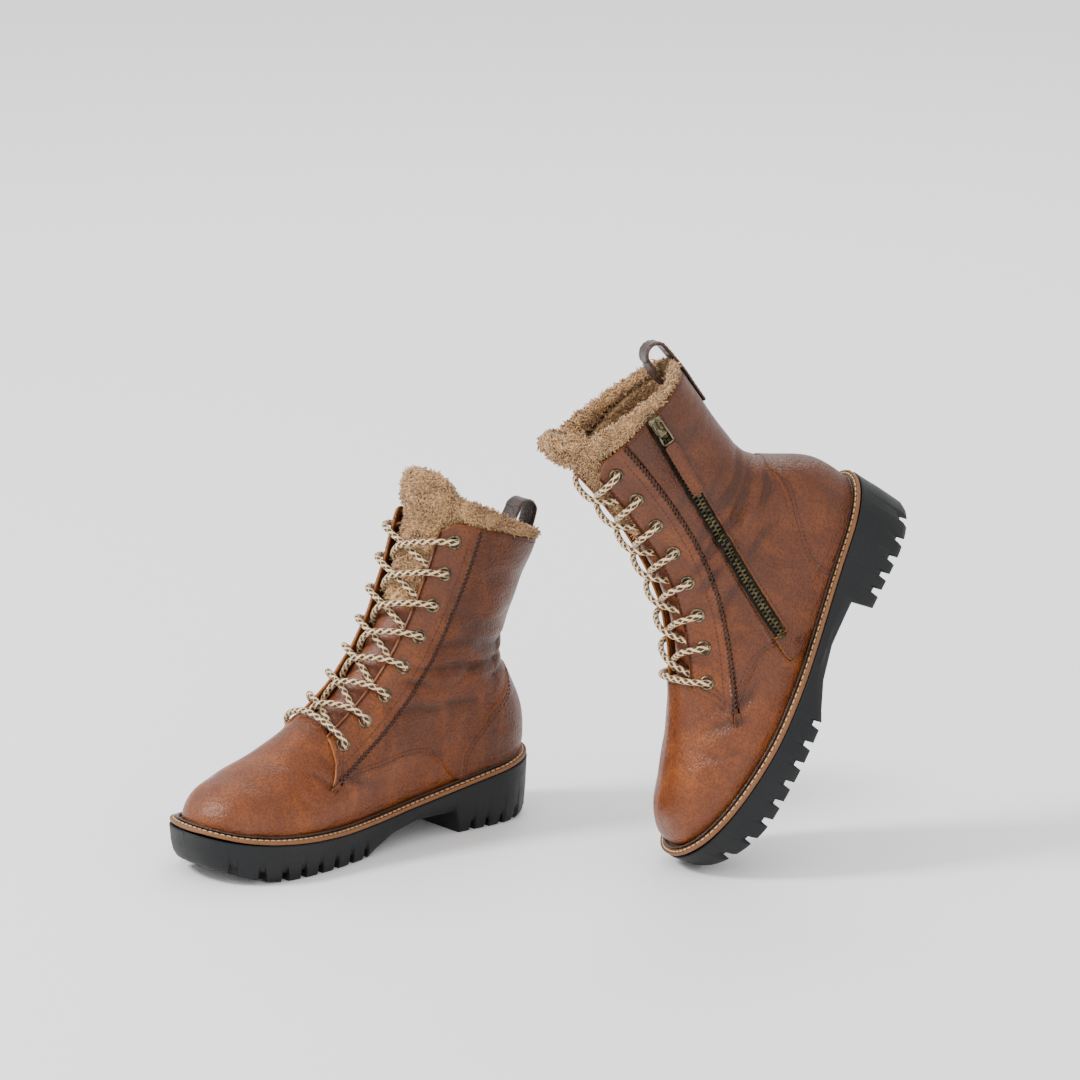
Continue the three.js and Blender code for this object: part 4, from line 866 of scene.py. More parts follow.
def vamp():
    across = [np.array(fan(throat(i) + 0.08, i)) for i in (0, FACING_INSET, 20, 30, 37)]
    tops = {
        1: np.array(across + [[-26, 63], [-5, 64], [14, 61], [30, 54], [44, 43]]),
        -1: np.array(across + [[-26, 63], [-2, 65], [20, 68], [42, 66], [62, 60], [80, 46]]),
    }
    rears = {1: 46.0, -1: 82.0}
    ease = np.concatenate([np.linspace(0, 0.3, 22), np.linspace(0.3, 1, 34)[1:]])
    v = uneven(44)
    grids = []
    for side in (1, -1):
        top = through(np.concatenate([np.arange(len(tops[side]))[:, None], tops[side]], 1),
                      ease * (len(tops[side]) - 1))
        y_low = TOE + (rears[side] - TOE) * ease ** 1.7
        z_low = feather(y_low) + EDGE
        inset_low = np.maximum(locate(y_low, z_low)[3], 0)
        inset_high = np.maximum(locate(top[:, 0], top[:, 1])[3], 0)
        inset_low[0] = inset_high[0] = 0
        p_low, p_high = station_near(np.maximum(y_low, TOE + 1e-3)), None
        p_high = locate_station(top[:, 0], top[:, 1])
        p_low = locate_station(y_low, z_low)
        p_low[0] = 0
        power = 1.7 + (1 - 1.7) * np.minimum(ease * 2, 1)
        share = v[None, :] ** power[:, None]
        p = p_low[:, None] + (p_high - p_low)[:, None] * share
        inset = (np.sqrt(inset_low)[:, None] * (1 - v) + np.sqrt(inset_high)[:, None] * v) ** 2
        y, z = fan(p, inset)
        z = np.maximum(z, feather(y) + EDGE)
        grids.append((y, z, np.full_like(y, side)))
    y, z, side = (np.concatenate([grids[0][k][::-1], grids[1][k][1:]]) for k in range(3))
    return y, z, side


def locate_station(y, z):
    low, high = np.zeros_like(y), np.full_like(y, 13.0)
    for _ in range(26):
        p = (low + high) / 2
        s_y, s_z, tilt, _, _ = station(p)
        past = (y - s_y) * np.cos(tilt) + (z - s_z) * np.sin(tilt) > 0
        low, high = np.where(past, p, low), np.where(past, high, p)
    return (low + high) / 2


vy, vz, vs = vamp()
panel("vamp_leather", vy, vz, vs, COGNAC, ["vamp"], depth=1.9, free=(0, 1, 1, 1), shade=dim_vamp)


def quarter_front(count=200):
    p = np.linspace(throat(SEAM_INSET), COLLAR, count)
    return np.stack(fan(p, np.full_like(p, SEAM_INSET + 0.4)), -1)


def collar_line(start, end, count=100):
    t = np.linspace(0, 1, count)[:, None]
    return np.asarray(start) * (1 - t) + np.asarray(end) * t


def back_edge(z0, z1, count=100):
    z = np.linspace(z0, z1, count)
    return np.stack([back(z) - 0.04, z], -1)


FRONT = quarter_front()
seam_over = COUNTER_SEAM[1:] + [-1.2, 1.0]
inner_bottom = curve_through([FRONT[0], *WING[1:5], [59, 42.5], [68, 36], [78, 44], [86, 60], [96, 75], [107, 88],
                              [back(98.0) - 0.04, 98]], 400)
inner_bottom[:, 1] = np.maximum(inner_bottom[:, 1], feather(inner_bottom[:, 0]) + EDGE)
grid = coons(inner_bottom, collar_line(FRONT[-1], COLLAR_BACK), FRONT, back_edge(98, COLLAR_BACK[1]),
             uneven(60), uneven(76))
panel("inner_quarter_leather", grid[..., 0], grid[..., 1], -1, SHAFT, ["inner_quarter"], free=(1, 0, 1, 1),
      shade=dim_shaft)

ZIP_FOOT, ZIP_HEAD = np.array([20.0, 51.0]), np.array([106.0, 203.0])
ZIP_RUN = float(np.linalg.norm(ZIP_HEAD - ZIP_FOOT))
ZIP_WAY = (ZIP_HEAD - ZIP_FOOT) / ZIP_RUN


def zip_point(up, across):
    up, across = np.asarray(up, float), np.asarray(across, float)
    return np.stack([ZIP_FOOT[0] + ZIP_WAY[0] * up + ZIP_WAY[1] * across,
                     ZIP_FOOT[1] + ZIP_WAY[1] * up - ZIP_WAY[0] * across], -1)


def zip_top(across):
    up = np.linspace(ZIP_RUN - 30, ZIP_RUN + 30, 600)
    spot = zip_point(up, np.full_like(up, across))
    inset = locate(spot[:, 0], spot[:, 1])[3]
    gap = fan(np.full_like(up, COLLAR), inset)[1] - spot[:, 1]
    return float(up[int(np.argmax(gap <= 0.1))])


SLOT = 9.4
line_front = zip_point(np.linspace(-4, zip_top(-SLOT / 2), 100), np.full(100, -SLOT / 2))
front_bottom = curve_through([FRONT[0], WING[1], line_front[0]], 200)
grid = coons(front_bottom, collar_line(FRONT[-1], line_front[-1]), FRONT, line_front, uneven(56), uneven(14, 0.02))
panel("outer_front_quarter_leather", grid[..., 0], grid[..., 1], 1, SHAFT, ["outer_front_quarter"], shade=dim_shaft)

line_rear = zip_point(np.linspace(-9, zip_top(SLOT / 2), 300), np.full(300, SLOT / 2))
rear_seam = np.concatenate([
    curve_through([[76, feather(76.0) + EDGE], [79, 50], [87, 63], [98, 77], [109, 90], [back(100.0) - 0.04, 100]], 200),
    back_edge(100.5, COLLAR_BACK[1], 200)])
share_end = np.interp(np.linspace(0, 1, 11), np.linspace(0, 1, 11), [0, .09, .18, .28, .38, .5, .56, .65, .77, .89, 1])
share_start = np.array([0, 0.07, 0.14, 0.22, 0.31, 0.41, 0.48, 0.58, 0.7, 0.85, 1])
v = uneven(60)
start = at_shares(line_rear, np.interp(v, np.linspace(0, 1, 11), share_start))
end = at_shares(rear_seam, np.interp(v, np.linspace(0, 1, 11), share_end))
u = uneven(48)
eased = u[None] + (np.sin(np.pi / 2 * u)[None] - u[None]) * np.clip(v * 2, 0, 1)[:, None]
gy = start[:, :1] + (end - start)[:, :1] * eased
gz = start[:, 1:] + (end - start)[:, 1:] * eased
low = np.maximum(feather(gy) + EDGE, start[:1, 1:] - 0.75 * (gy - start[:1, :1]))
floor_pull = np.clip(1 - v * 6, 0, 1)[:, None] ** 1.5
gz = gz + (low[0][None] - gz[0][None]) * floor_pull
gz = np.maximum(gz, np.minimum(low, gz + 40) * 0 + np.where(gy > start[0, 0], feather(gy) + EDGE, gz))
panel("outer_rear_quarter_leather", gy, gz, 1, SHAFT, ["outer_rear_quarter"], free=(1, 0, 1, 1), shade=dim_shaft)


def heel_band(front, rows, columns, top_extra=0.0):
    """Grid round the heel between a front line, given low to high, and the same on the other side."""
    path = curve_through(front, 200)
    v, u = uneven(rows, 0.01), np.linspace(0, 1, columns)
    at = at_shares(path, v)
    z_back = feather(HEEL) + EDGE + (path[-1, 1] + top_extra - feather(HEEL) - EDGE) * v
    eased = np.sin(np.pi / 2 * u)[None]
    z = at[:, 1:] + (z_back[:, None] - at[:, 1:]) * eased
    y = at[:, :1] + (back(z) - 0.02 - at[:, :1]) * eased
    low = feather(y) + EDGE
    z = np.where(v[:, None] < 1e-9, low, np.maximum(z, low))
    y = np.minimum(y, back(z) - 0.02)
    return (np.concatenate([y, y[:, ::-1][:, 1:]], 1), np.concatenate([z, z[:, ::-1][:, 1:]], 1),
            np.concatenate([np.ones_like(y), -np.ones_like(y)[:, 1:]], 1))


hy, hz, hs = heel_band(COUNTER_SEAM, 36, 60)
panel("heel_counter_leather", hy, hz, hs, SHAFT, ["heel_counter"], depth=-0.7, thickness=2.0, shade=dim_shaft)


def facing(side):
    v, inset = uneven(70, 0.004), FACING_INSET + (SEAM_INSET - FACING_INSET) * uneven(14, 0.02)
    V, I = np.meshgrid(v, inset, indexing="ij")
    corner = COLLAR - 0.42 * np.clip(1 - (I - FACING_INSET) / 12, 0, 1) ** 2.2
    point = 0.28 * np.clip((I - 24) / 10, 0, 1)
    base = throat(I) - point
    y, z = fan(base + (corner - base) * V, I)
    return y, z


for side, word in ((-1, "inner"), (1, "outer")):
    fy, fz = facing(side)
    panel(f"{word}_facing_leather", fy, fz, side, COGNAC, [f"{word}_eyestay"], depth=-0.5, thickness=2.0,
          shade=dim_shaft)

# ---------------------------------------------------------------- stitching

wing_off = lambda line, amount: np.asarray(line) + [0, amount]
wing_line = [FRONT[0], *WING[1:5], [58, 44]]
counter_line = [*COUNTER_SEAM[1:], [118.6, 109]]
counter_in = [COUNTER_SEAM[0] + [2.6, 2]] + [p + [2.2, -2.0] for p in COUNTER_SEAM[1:-1]] + [[114.6, 104.4]]
counter_in2 = [COUNTER_SEAM[0] + [5.0, 2]] + [p + [4.4, -3.6] for p in COUNTER_SEAM[1:-1]] + [[113.4, 101.6]]


def facing_line(inset, low, high, count=60):
    p = np.linspace(low, high, count)
    return np.stack(fan(p, np.full_like(p, inset)), -1)


stitches("seam_stitching", [
    (wing_off(wing_line[:5], 2.2), -1), (wing_off(wing_line[:5], 4.6), -1),
    ([FRONT[0] + [0.5, 2.2], WING[1] + [0, 2.2], line_front[0] + [-0.6, 2.6]], 1),
    ([FRONT[0] + [0.8, 4.6], WING[1] + [0, 4.6], line_front[0] + [-0.6, 5.2]], 1),
    (line_front[3:] + [-1.9, 1.0], 1), (line_rear[8:] + [1.9, -1.0], 1),
    (collar_line(FRONT[-1] + [0.4, -2.6], COLLAR_BACK + [-3, -2.6], 60), -1),
    (collar_line(line_rear[-1] + [1.0, -2.6], COLLAR_BACK + [-3, -2.6], 60), 1),
    (collar_line(FRONT[-1] + [0.4, -2.6], line_front[-1] + [-1, -2.4], 20), 1),
], size=(2.4, 0.75, 0.6), lift=0.1)
counter_rows = [(line, side) for line in (counter_in, counter_in2) for side in (1, -1)]
stitches("counter_stitching", counter_rows, size=(2.5, 0.8, 0.6), lift=0.8)
facing_rows = [(facing_line(FACING_INSET + 2.2, 4.25, 11.0), side) for side in (1, -1)]
facing_rows += [(facing_line(SEAM_INSET - 6.4, 3.9, 11.2), side) for side in (1, -1)]
for up_by in (0.14, 0.29):
    across = np.linspace(FACING_INSET + 3, SEAM_INSET - 1.5, 40)
    flap = np.stack(fan(throat(across) - 0.28 * np.clip((across - 24) / 10, 0, 1) + up_by, across), -1)
    facing_rows += [(flap, side) for side in (1, -1)]
stitches("facing_stitching", facing_rows, size=(2.4, 0.75, 0.6), lift=0.6)


def braid(name, side_list):
    """Thick zigzag stitches over the seam behind the eyelets."""
    places, aheads, outs = [], [], []
    for side in side_list:
        line = facing_line(SEAM_INSET - 0.6, 3.72, 11.42, 200)
        for turn in (0, 1):
            place, ahead, out = row_places(line, 3.2, side, 0.6, 0.0 if turn else 1.6)
            across = np.cross(out, ahead)
            across /= np.linalg.norm(across, axis=1, keepdims=True)
            unit = ahead / np.linalg.norm(ahead, axis=1, keepdims=True)
            sign = 1 if turn else -1
            places.append(place + across * sign * 0.75)
            aheads.append(unit * 0.8 + across * sign * 0.75)
            outs.append(out)
    return lay_out(name, np.concatenate(places), np.concatenate(aheads), np.concatenate(outs), STITCH, BRAID_THREAD,
                   (3.3, 1.15, 1.0), slot="dark_leather")


braid("facing_braid", (1, -1))

# ---------------------------------------------------------------- eyelets and lace

EYELETS = np.array([4.33, 5.1906, 6.0181, 6.978, 8.0041, 8.964, 9.8908, 10.95])


def lathe(profile, sides=20):
    """Closed ring shape about Z from radius and height pairs."""
    n = len(profile)
    points = [(r * math.cos(2 * math.pi * k / sides), r * math.sin(2 * math.pi * k / sides), h)
              for k in range(sides) for r, h in profile]
    faces = [(k * n + i, ((k + 1) % sides) * n + i, ((k + 1) % sides) * n + (i + 1) % n, k * n + (i + 1) % n)
             for k in range(sides) for i in range(n)]
    return points, outward_order(np.array(points), faces)


RING = template("eyelet_shape", *lathe([(2.9, -2.2), (3.2, -2.2), (3.5, 0.1), (4.75, 0.1), (4.9, 0.4), (4.6, 0.85),
                                        (4.0, 1.05), (3.35, 0.8), (3.0, 0.1)]))
DISC = template("eyelet_hole_shape", *lathe([(0.02, -0.5), (3.3, -0.5), (3.3, 0.0), (0.02, 0.0)], 16))
spots, normals, heads = [], [], []
for side in (1, -1):
    ey, ez = fan(EYELETS, np.full(8, EYELET_INSET))
    ss = np.full(8, float(side))
    spots.append(skin(ey, ez, ss, -0.45))
    normals.append(outward(ey, ez, ss))
    heads.append(skin(ey + 1, ez, ss) - skin(ey - 1, ez, ss))
spots, normals, heads = (np.concatenate(a) for a in (spots, normals, heads))
lay_out("brass_eyelets", spots, heads, normals, RING, BRASS, slot="brass", nodes=["inner_eyelets", "outer_eyelets"])
lay_out("eyelet_shadows", spots, heads, normals, DISC, EYE_DARK, slot="zip_tape")

LACE_RADIUS, RIDE = 1.8, 1.9


def lace_route():
    """The lace's route, in under the facings and out over the next eyelet."""
    def at(p, inset, side, depth):
        y, z = fan(np.float64(p), np.float64(inset))
        return skin(y, z, float(side), depth, 0.6)

    over = -(LACE_RADIUS + RIDE)

    def strand(k, side, high):
        p, after = EYELETS[k], EYELETS[k + 1]
        mix = lambda t: p + (after - p) * t
        return [at(p, EYELET_INSET - 0.4, side, 5.6), at(mix(0.14), 7, side, 5.4),
                at(mix(0.5), 0, side, 1.2 if high else 6.0), at(mix(0.86), 8.2, -side, over + 0.3),
                at(after, EYELET_INSET, -side, over - 0.6)]

    def half(start):
        points = []
        for k in range(7):
            side = start if k % 2 == 0 else -start
            points += strand(k, side, side > 0)
        last = start if 7 % 2 == 0 else -start
        return points + [at(EYELETS[7], EYELET_INSET - 0.6, last, 5.6), at(EYELETS[7] - 0.3, EYELET_INSET - 4.5, last, 5.9)]

    p = EYELETS[0]
    bar = [at(p, EYELET_INSET, 1, over - 0.6), at(p - 0.04, 8.2, 1, over + 0.2), at(p - 0.05, 0, 1, -1.4),
           at(p - 0.04, 8.2, -1, over + 0.2), at(p, EYELET_INSET, -1, over - 0.6)]
    return np.array([*half(1)[::-1], *bar, *half(-1)])


def tube(path, radius, sides=12, flatten=1.0):
    """Closed tube along a path, with its wrap coordinates."""
    path = np.asarray(path, float)
    ahead = np.gradient(path, axis=0)
    ahead /= np.linalg.norm(ahead, axis=1, keepdims=True)
    side = np.cross(ahead[0], [0, 0, 1.0])
    if np.linalg.norm(side) < 0.2:
        side = np.cross(ahead[0], [0, 1.0, 0])
    points, radius = [], np.broadcast_to(np.asarray(radius, float), (len(path),))
    for k, a in enumerate(ahead):
        side = side - a * np.dot(side, a)
        side = side / np.linalg.norm(side)
        up = np.cross(side, a)
        for j in range(sides):
            angle = 2 * math.pi * j / sides
            points.append(path[k] + radius[k] * (math.cos(angle) * side + math.sin(angle) * up * flatten))
    run = np.concatenate([[0], np.cumsum(np.linalg.norm(np.diff(path, axis=0), axis=1))]) / 6.6
    faces, wrap = [], []
    for k in range(len(path) - 1):
        for j in range(sides):
            n = (j + 1) % sides
            faces.append((k * sides + j, k * sides + n, (k + 1) * sides + n, (k + 1) * sides + j))
            a, b = j / sides, (j + 1) / sides
            wrap += [(run[k], a), (run[k], b), (run[k + 1], b), (run[k + 1], a)]
    first = tuple(range(sides))[::-1]
    last = tuple((len(path) - 1) * sides + j for j in range(sides))
    faces += [first, last]
    wrap += [(run[0], 0.0)] * sides + [(run[-1], 0.0)] * sides
    return np.array(points), faces, wrap


route = curve_through(lace_route(), 620)
lace_points, lace_faces, lace_wrap = tube(route, 2.05)
lace_pair = both("round_lace", lace_points, lace_faces, LACE_BRAID, nodes=["lace"], slot="lace", wrap=lace_wrap)
for side, piece in zip(SIDES, lace_pair):
    line = set_down(route, side)

# ---------------------------------------------------------------- zip

HIGH = zip_top(0.0)
up = np.linspace(-2, HIGH - 1.5, 90)
tape_across = np.array([-6.4, -4, -2, 0, 2, 4, 6.4])
UP, AC = np.meshgrid(up, tape_across, indexing="ij")
spot = zip_point(UP, AC)
panel("zip_tape_cloth", spot[..., 0], spot[..., 1], 1, ZIP_TAPE, ["zip_tape"], depth=1.9, thickness=0.5, lip=0.3,
      slot="zip_tape")


def block(length, width, height, soft=0.25):
    """A tooth with its top edges taken off."""
    a, b, h = length / 2, width / 2, height
    points = [(-a, -b, 0), (a, -b, 0), (a, b, 0), (-a, b, 0), (-a, -b, h - soft), (a, -b, h - soft), (a, b, h - soft),
              (-a, b, h - soft), (-a + soft, -b + soft, h), (a - soft, -b + soft, h), (a - soft, b - soft, h),
              (-a + soft, b - soft, h)]
    faces = [(3, 2, 1, 0), (0, 1, 5, 4), (1, 2, 6, 5), (2, 3, 7, 6), (3, 0, 4, 7), (4, 5, 9, 8), (5, 6, 10, 9),
             (6, 7, 11, 10), (7, 4, 8, 11), (8, 9, 10, 11)]
    return points, faces


TOOTH = template("zip_tooth_shape", *block(1.75, 3.5, 1.7))
teeth, tooth_ahead, tooth_out = [], [], []
for hand in (-1, 1):
    steps = np.arange(1.2 + (1.5 if hand > 0 else 0), HIGH - 4, 3.0)
    spot = zip_point(steps, np.full_like(steps, hand * 1.25))
    ones = np.ones(len(steps))
    teeth.append(skin(spot[:, 0], spot[:, 1], ones, 1.0))
    ahead_spot = zip_point(steps + 1, np.full_like(steps, hand * 1.25))
    tooth_ahead.append(skin(ahead_spot[:, 0], ahead_spot[:, 1], ones, 1.0) - teeth[-1])
    tooth_out.append(outward(spot[:, 0], spot[:, 1], ones))
lay_out("zip_teeth_rows", np.concatenate(teeth), np.concatenate(tooth_ahead), np.concatenate(tooth_out), TOOTH, ZIP_BRASS,
        slot="brass", nodes=["zip_teeth"])
stop_spot = zip_point(np.array([-1.0, HIGH - 2.2]), np.array([0.0, 0.0]))
stop_ahead = skin(zip_point([0.0, HIGH - 1.2], [0.0, 0.0])[:, 0], zip_point([0.0, HIGH - 1.2], [0.0, 0.0])[:, 1], np.ones(2), 1)
stops = skin(stop_spot[:, 0], stop_spot[:, 1], np.ones(2), 1.0)
lay_out("zip_stops", stops, stop_ahead - stops, outward(stop_spot[:, 0], stop_spot[:, 1], np.ones(2)),
        template("zip_stop_shape", *block(2.6, 5.4, 2.0, 0.5)), ZIP_BRASS, slot="brass")

SLIDER = np.array([[0.03883, -0.02091, 0.99903], [-0.87009, -0.49233, 0.02352], [0.49136, -0.87016, -0.03731]])
SLIDER_PLACE = np.array([41.24992, 102.45447, 196.73348])
LIFT, BODY = 1.7, 2.4
PULL_BASE = 4.4


def in_slider(points):
    return np.asarray(points, float) @ SLIDER.T + SLIDER_PLACE


def plate(outline, low, high, soft=0.4, rings=3):
    """Solid plate over an outline with rounded edges top and bottom."""
    outline = np.asarray(outline, float)
    centre = outline.mean(0)
    size = np.abs(outline - centre).max(0)
    layers = []
    for k in range(rings + 1):
        a = math.pi / 2 * k / rings
        layers.append((1 - soft * (1 - math.sin(a)) / size, low + soft * (1 - math.cos(a))))
    for k in range(rings, -1, -1):
        a = math.pi / 2 * k / rings
        layers.append((1 - soft * (1 - math.sin(a)) / size, high - soft * (1 - math.cos(a))))
    points = [(*(centre + (p - centre) * shrink), z) for shrink, z in layers for p in outline]
    n, m = len(outline), len(layers)
    faces = [(r * n + k, r * n + (k + 1) % n, (r + 1) * n + (k + 1) % n, (r + 1) * n + k)
             for r in range(m - 1) for k in range(n)]
    faces += [tuple(range(n))[::-1], tuple((m - 1) * n + k for k in range(n))]
    points = np.array(points)
    return points, outward_order(points, faces)


def rounded(wide, narrow, start, end, corner, steps=5):
    """Outline of a tapered strip with round corners, across and along."""
    corners = [(-wide, start, 180), (wide, start, 270), (narrow, end, 0), (-narrow, end, 90)]
    points = []
    for (x, y, first) in corners:
        cx, cy = x - math.copysign(corner, x), y + (corner if y == start else -corner)
        for k in range(steps + 1):
            a = math.radians(first + 90 * k / steps)
            points.append((cx + corner * math.cos(a), cy + corner * math.sin(a)))
    return points


def several(*shapes):
    points, faces, base = [], [], 0
    for p, f in shapes:
        points.append(np.asarray(p, float))
        faces += [tuple(i + base for i in face) for face in f]
        base += len(p)
    return np.concatenate(points), faces


body = plate(rounded(4.2, 3.2, -6.8, 6.8, 1.6), LIFT, LIFT + BODY, 0.7)
wing_plate = plate(rounded(4.6, 3.7, -7.2, 5.2, 2.0), LIFT - 0.1, LIFT + 0.7, 0.25)
bridge_path = [(0, -4.9, LIFT + BODY - 0.4), (0, -4.9, 6.3), (0, -3.6, 6.9), (0, -1.2, 7.0), (0, 0.8, 6.2),
               (0, 1.6, LIFT + BODY - 0.4)]
bridge = tube(curve_through(bridge_path, 26), 0.75, 8)[:2]
points, faces = several(body, wing_plate, bridge)
both("zip_slider_body", in_slider(points), faces, SLIDER_BRASS, nodes=["zip_slider"], slot="brass", body="zip_slider")

ring_line = [(-3.0, -3.2), (-3.4, 3), (-3.9, 11), (-2.8, 12.2), (0, 12.4), (2.8, 12.2), (3.9, 11), (3.4, 3), (3.0, -3.2),
             (1.6, -3.9), (0, -3.9), (-1.6, -3.9)]
ring = curve_through([(x, y, PULL_BASE + 0.7) for x, y in ring_line + ring_line[:1]], 72)


def ring_tube(path, radius, sides=10):
    path = path[:-1]
    n = len(path)
    centre = path.mean(0)
    points, faces = [], []
    for k in range(n):
        a = path[(k + 1) % n] - path[k - 1]
        a /= np.linalg.norm(a)
        up = np.array([0, 0, 1.0])
        out = np.cross(a, up)
        for j in range(sides):
            t = 2 * math.pi * j / sides
            points.append(path[k] + radius * (math.cos(t) * out + math.sin(t) * up))
    for k in range(n):
        for j in range(sides):
            faces.append((k * sides + j, k * sides + (j + 1) % sides, ((k + 1) % n) * sides + (j + 1) % sides,
                          ((k + 1) % n) * sides + j))
    points = np.array(points)
    return points, outward_order(points, faces)


both("zip_puller_ring", in_slider(ring_tube(ring, 0.68)[0]), ring_tube(ring, 0.68)[1], SLIDER_BRASS, nodes=["zip_puller"],
     slot="brass", body="zip_puller")

pull = plate(rounded(4.5, 4.1, 13.3, 53, 2.6), PULL_BASE - 0.5, PULL_BASE + 1.7, 0.7, 4)
count = len(pull[0])
# The pull gets an even share of the painted shade.
both("zip_pull_strip", in_slider(pull[0]), pull[1], COGNAC, nodes=["leather_pull"], body="leather_pull",
     notes={"rim": np.zeros(count), "fold_shade": np.zeros(count), "shade": np.full(count, 0.3)})
border = np.array(rounded(3.2, 2.9, 14.8, 51.6, 1.8))
border = np.concatenate([border, border[:1]])
run = np.concatenate([[0], np.cumsum(np.linalg.norm(np.diff(border, axis=0), axis=1))])
want = np.arange(0.8, run[-1], 2.6)
line = np.stack([np.interp(want, run, border[:, 0]), np.interp(want, run, border[:, 1]), np.full(len(want), PULL_BASE + 1.7)], -1)
nxt = np.stack([np.interp(want + 0.4, run, border[:, 0]), np.interp(want + 0.4, run, border[:, 1]), np.full(len(want), PULL_BASE + 1.7)], -1)
lay_out("zip_pull_stitching", in_slider(line), (nxt - line) @ SLIDER.T, np.tile([0, 0, 1.0], (len(line), 1)) @ SLIDER.T,
        STITCH, SEAM_THREAD, (1.9, 0.6, 0.5), body="leather_pull")

# Small leather patch that closes the foot of the zip
patch_up = -19 + 20 * uneven(12, 0.03)
patch_half = 5.6
UP, AC = np.meshgrid(patch_up, patch_half * np.linspace(-1, 1, 15), indexing="ij")
AC = AC * (0.62 + 0.38 * smooth(UP, -19, -12))
spot = zip_point(UP, AC)
panel("zip_foot_patch", spot[..., 0], spot[..., 1], 1, SHAFT, [], depth=-0.5, thickness=1.8, lip=0.8, shade=dim_shaft)
corner_line = [zip_point(a, b) for a, b in ((-0.5, -4.2), (-10, -4.2), (-17, -2.2), (-17.4, 0), (-17, 2.2), (-10, 4.2), (-0.5, 4.2))]
stitches("zip_patch_stitching", [(np.array(corner_line), 1)], size=(2.0, 0.7, 0.5), lift=0.55, spacing=2.6)
bar = [zip_point(a, b) for a, b in ((-14, 8.5), (-9, 9.2))]
stitches("zip_bar_tack", [(np.array(bar), 1), (np.array(bar) + [1.3, -0.7], 1)], size=(1.8, 0.8, 0.8), lift=0.3, spacing=1.7)

# ---------------------------------------------------------------- heel loop

LOOP_THICK, LOOP_HALF = 2.2, 8.0


def loop_middle():
    half, top = LOOP_THICK / 2, COLLAR_BACK[1]
    z = np.linspace(top - 28, top + 15, 5)
    outside = np.stack([back(np.minimum(z, top)) + np.maximum(z - top, 0) * 0.35 + half + 0.5, z], -1)
    y_top, z_top = outside[-1]
    angle = np.radians([20, 60, 100, 140, 170])
    bend = np.stack([y_top - 7.4 + 7.4 * np.cos(angle), z_top + 1.5 + 6.66 * np.sin(angle)], -1)
    return np.concatenate([outside, bend, [[y_top - 20, top + 9], [y_top - 22.6, top - 1]]])


def strap(middle, half_width, thick, count=90, across=13):
    line = curve_through(middle, count)
    way = np.gradient(line, axis=0)
    way /= np.linalg.norm(way, axis=1, keepdims=True)
    u = np.linspace(-1, 1, across)
    x = half_width * np.sign(u) * np.abs(u) ** 0.9
    gap = half_width - np.abs(x)
    round_off = 0.8 * (1 - np.sqrt(np.maximum(1 - (1 - np.clip(gap / 0.8, 0, 1)) ** 2, 0)))
    grids = []
    for hand in (1, -1):
        off = hand * (thick / 2 - round_off)[None, :]
        y = line[:, :1] + way[:, 1:] * off
        z = line[:, 1:] - way[:, :1] * off
        grids.append(np.stack([np.broadcast_to(x[None], y.shape), y, z], -1))
    points = np.concatenate([g.reshape(-1, 3) for g in grids])
    faces = outward_order(points, slab_faces(count, across))
    rim = np.clip(1 - np.broadcast_to(gap[None], (count, across)) / 1.2, 0, 1)
    return points, faces, np.tile(rim.ravel(), 2), line, way


loop_points, loop_faces, loop_rim, loop_line, loop_way = strap(loop_middle(), LOOP_HALF, LOOP_THICK)
zero = np.zeros(len(loop_points))
both("heel_pull_loop", loop_points, loop_faces, DARK_LEATHER, nodes=["heel_loop"], slot="dark_leather",
     notes={"rim": loop_rim, "fold_shade": zero, "shade": zero})
rows, ways, outs = [], [], []
for x in (-6.3, 6.3):
    pick = np.arange(2, 62, 3)
    rows.append(np.stack([np.full(len(pick), x), loop_line[pick, 0] + loop_way[pick, 1] * 1.15,
                          loop_line[pick, 1] - loop_way[pick, 0] * 1.15], -1))
    ways.append(np.stack([np.zeros(len(pick)), loop_way[pick, 0], loop_way[pick, 1]], -1))
    outs.append(np.stack([np.zeros(len(pick)), loop_way[pick, 1], -loop_way[pick, 0]], -1))
lay_out("heel_loop_stitching", np.concatenate(rows), np.concatenate(ways), np.concatenate(outs), STITCH, SEAM_THREAD,
        (2.2, 0.7, 0.5), slot="dark_leather")
z = COLLAR_BACK[1] + 5
face = float(back(COLLAR_BACK[1])) + 5 * 0.35 + LOOP_THICK + 0.5
lean = np.array([0, 1, -0.35]) / math.hypot(1, 0.35)
dome = template("rivet_shape", *lathe([(0.02, -0.6), (2.9, -0.6), (3.1, 0.1), (2.7, 0.8), (1.6, 1.25), (0.02, 1.45)], 20))
lay_out("heel_loop_rivet", [np.array([0, face, z]) + lean * 0.2], [[1.0, 0, 0]], [lean], dome, NICKEL, slot="nickel",
        nodes=["loop_rivet"])

# ---------------------------------------------------------------- tongue and shearling

TONGUE_JOIN, TONGUE_TOP, TONGUE_DEPTH = 8.7, 12.75, 9.0


def tongue_grid(low, high, reach, rows, columns, top_round=0.0):
    p = low + (high - low) * uneven(rows, 0.008)
    share = np.linspace(-1, 1, columns)
    inset = reach * np.abs(share) ** 2
    P, I = np.meshgrid(p, inset, indexing="ij")
    P = P - top_round * (np.abs(share) ** 3)[None] * smooth(P, high - 1.2, high)
    y, z = fan(P, I)
    side = np.where(share >= 0, 1.0, -1.0)[None] * np.ones_like(P)
    return y, z, side, P


ty, tz, ts, _ = tongue_grid(3.75, TONGUE_JOIN, 16, 60, 31)
panel("tongue_leather", ty, tz, ts, TONGUE_LEATHER, ["tongue"], depth=TONGUE_DEPTH, body="tongue", worn=0.4)


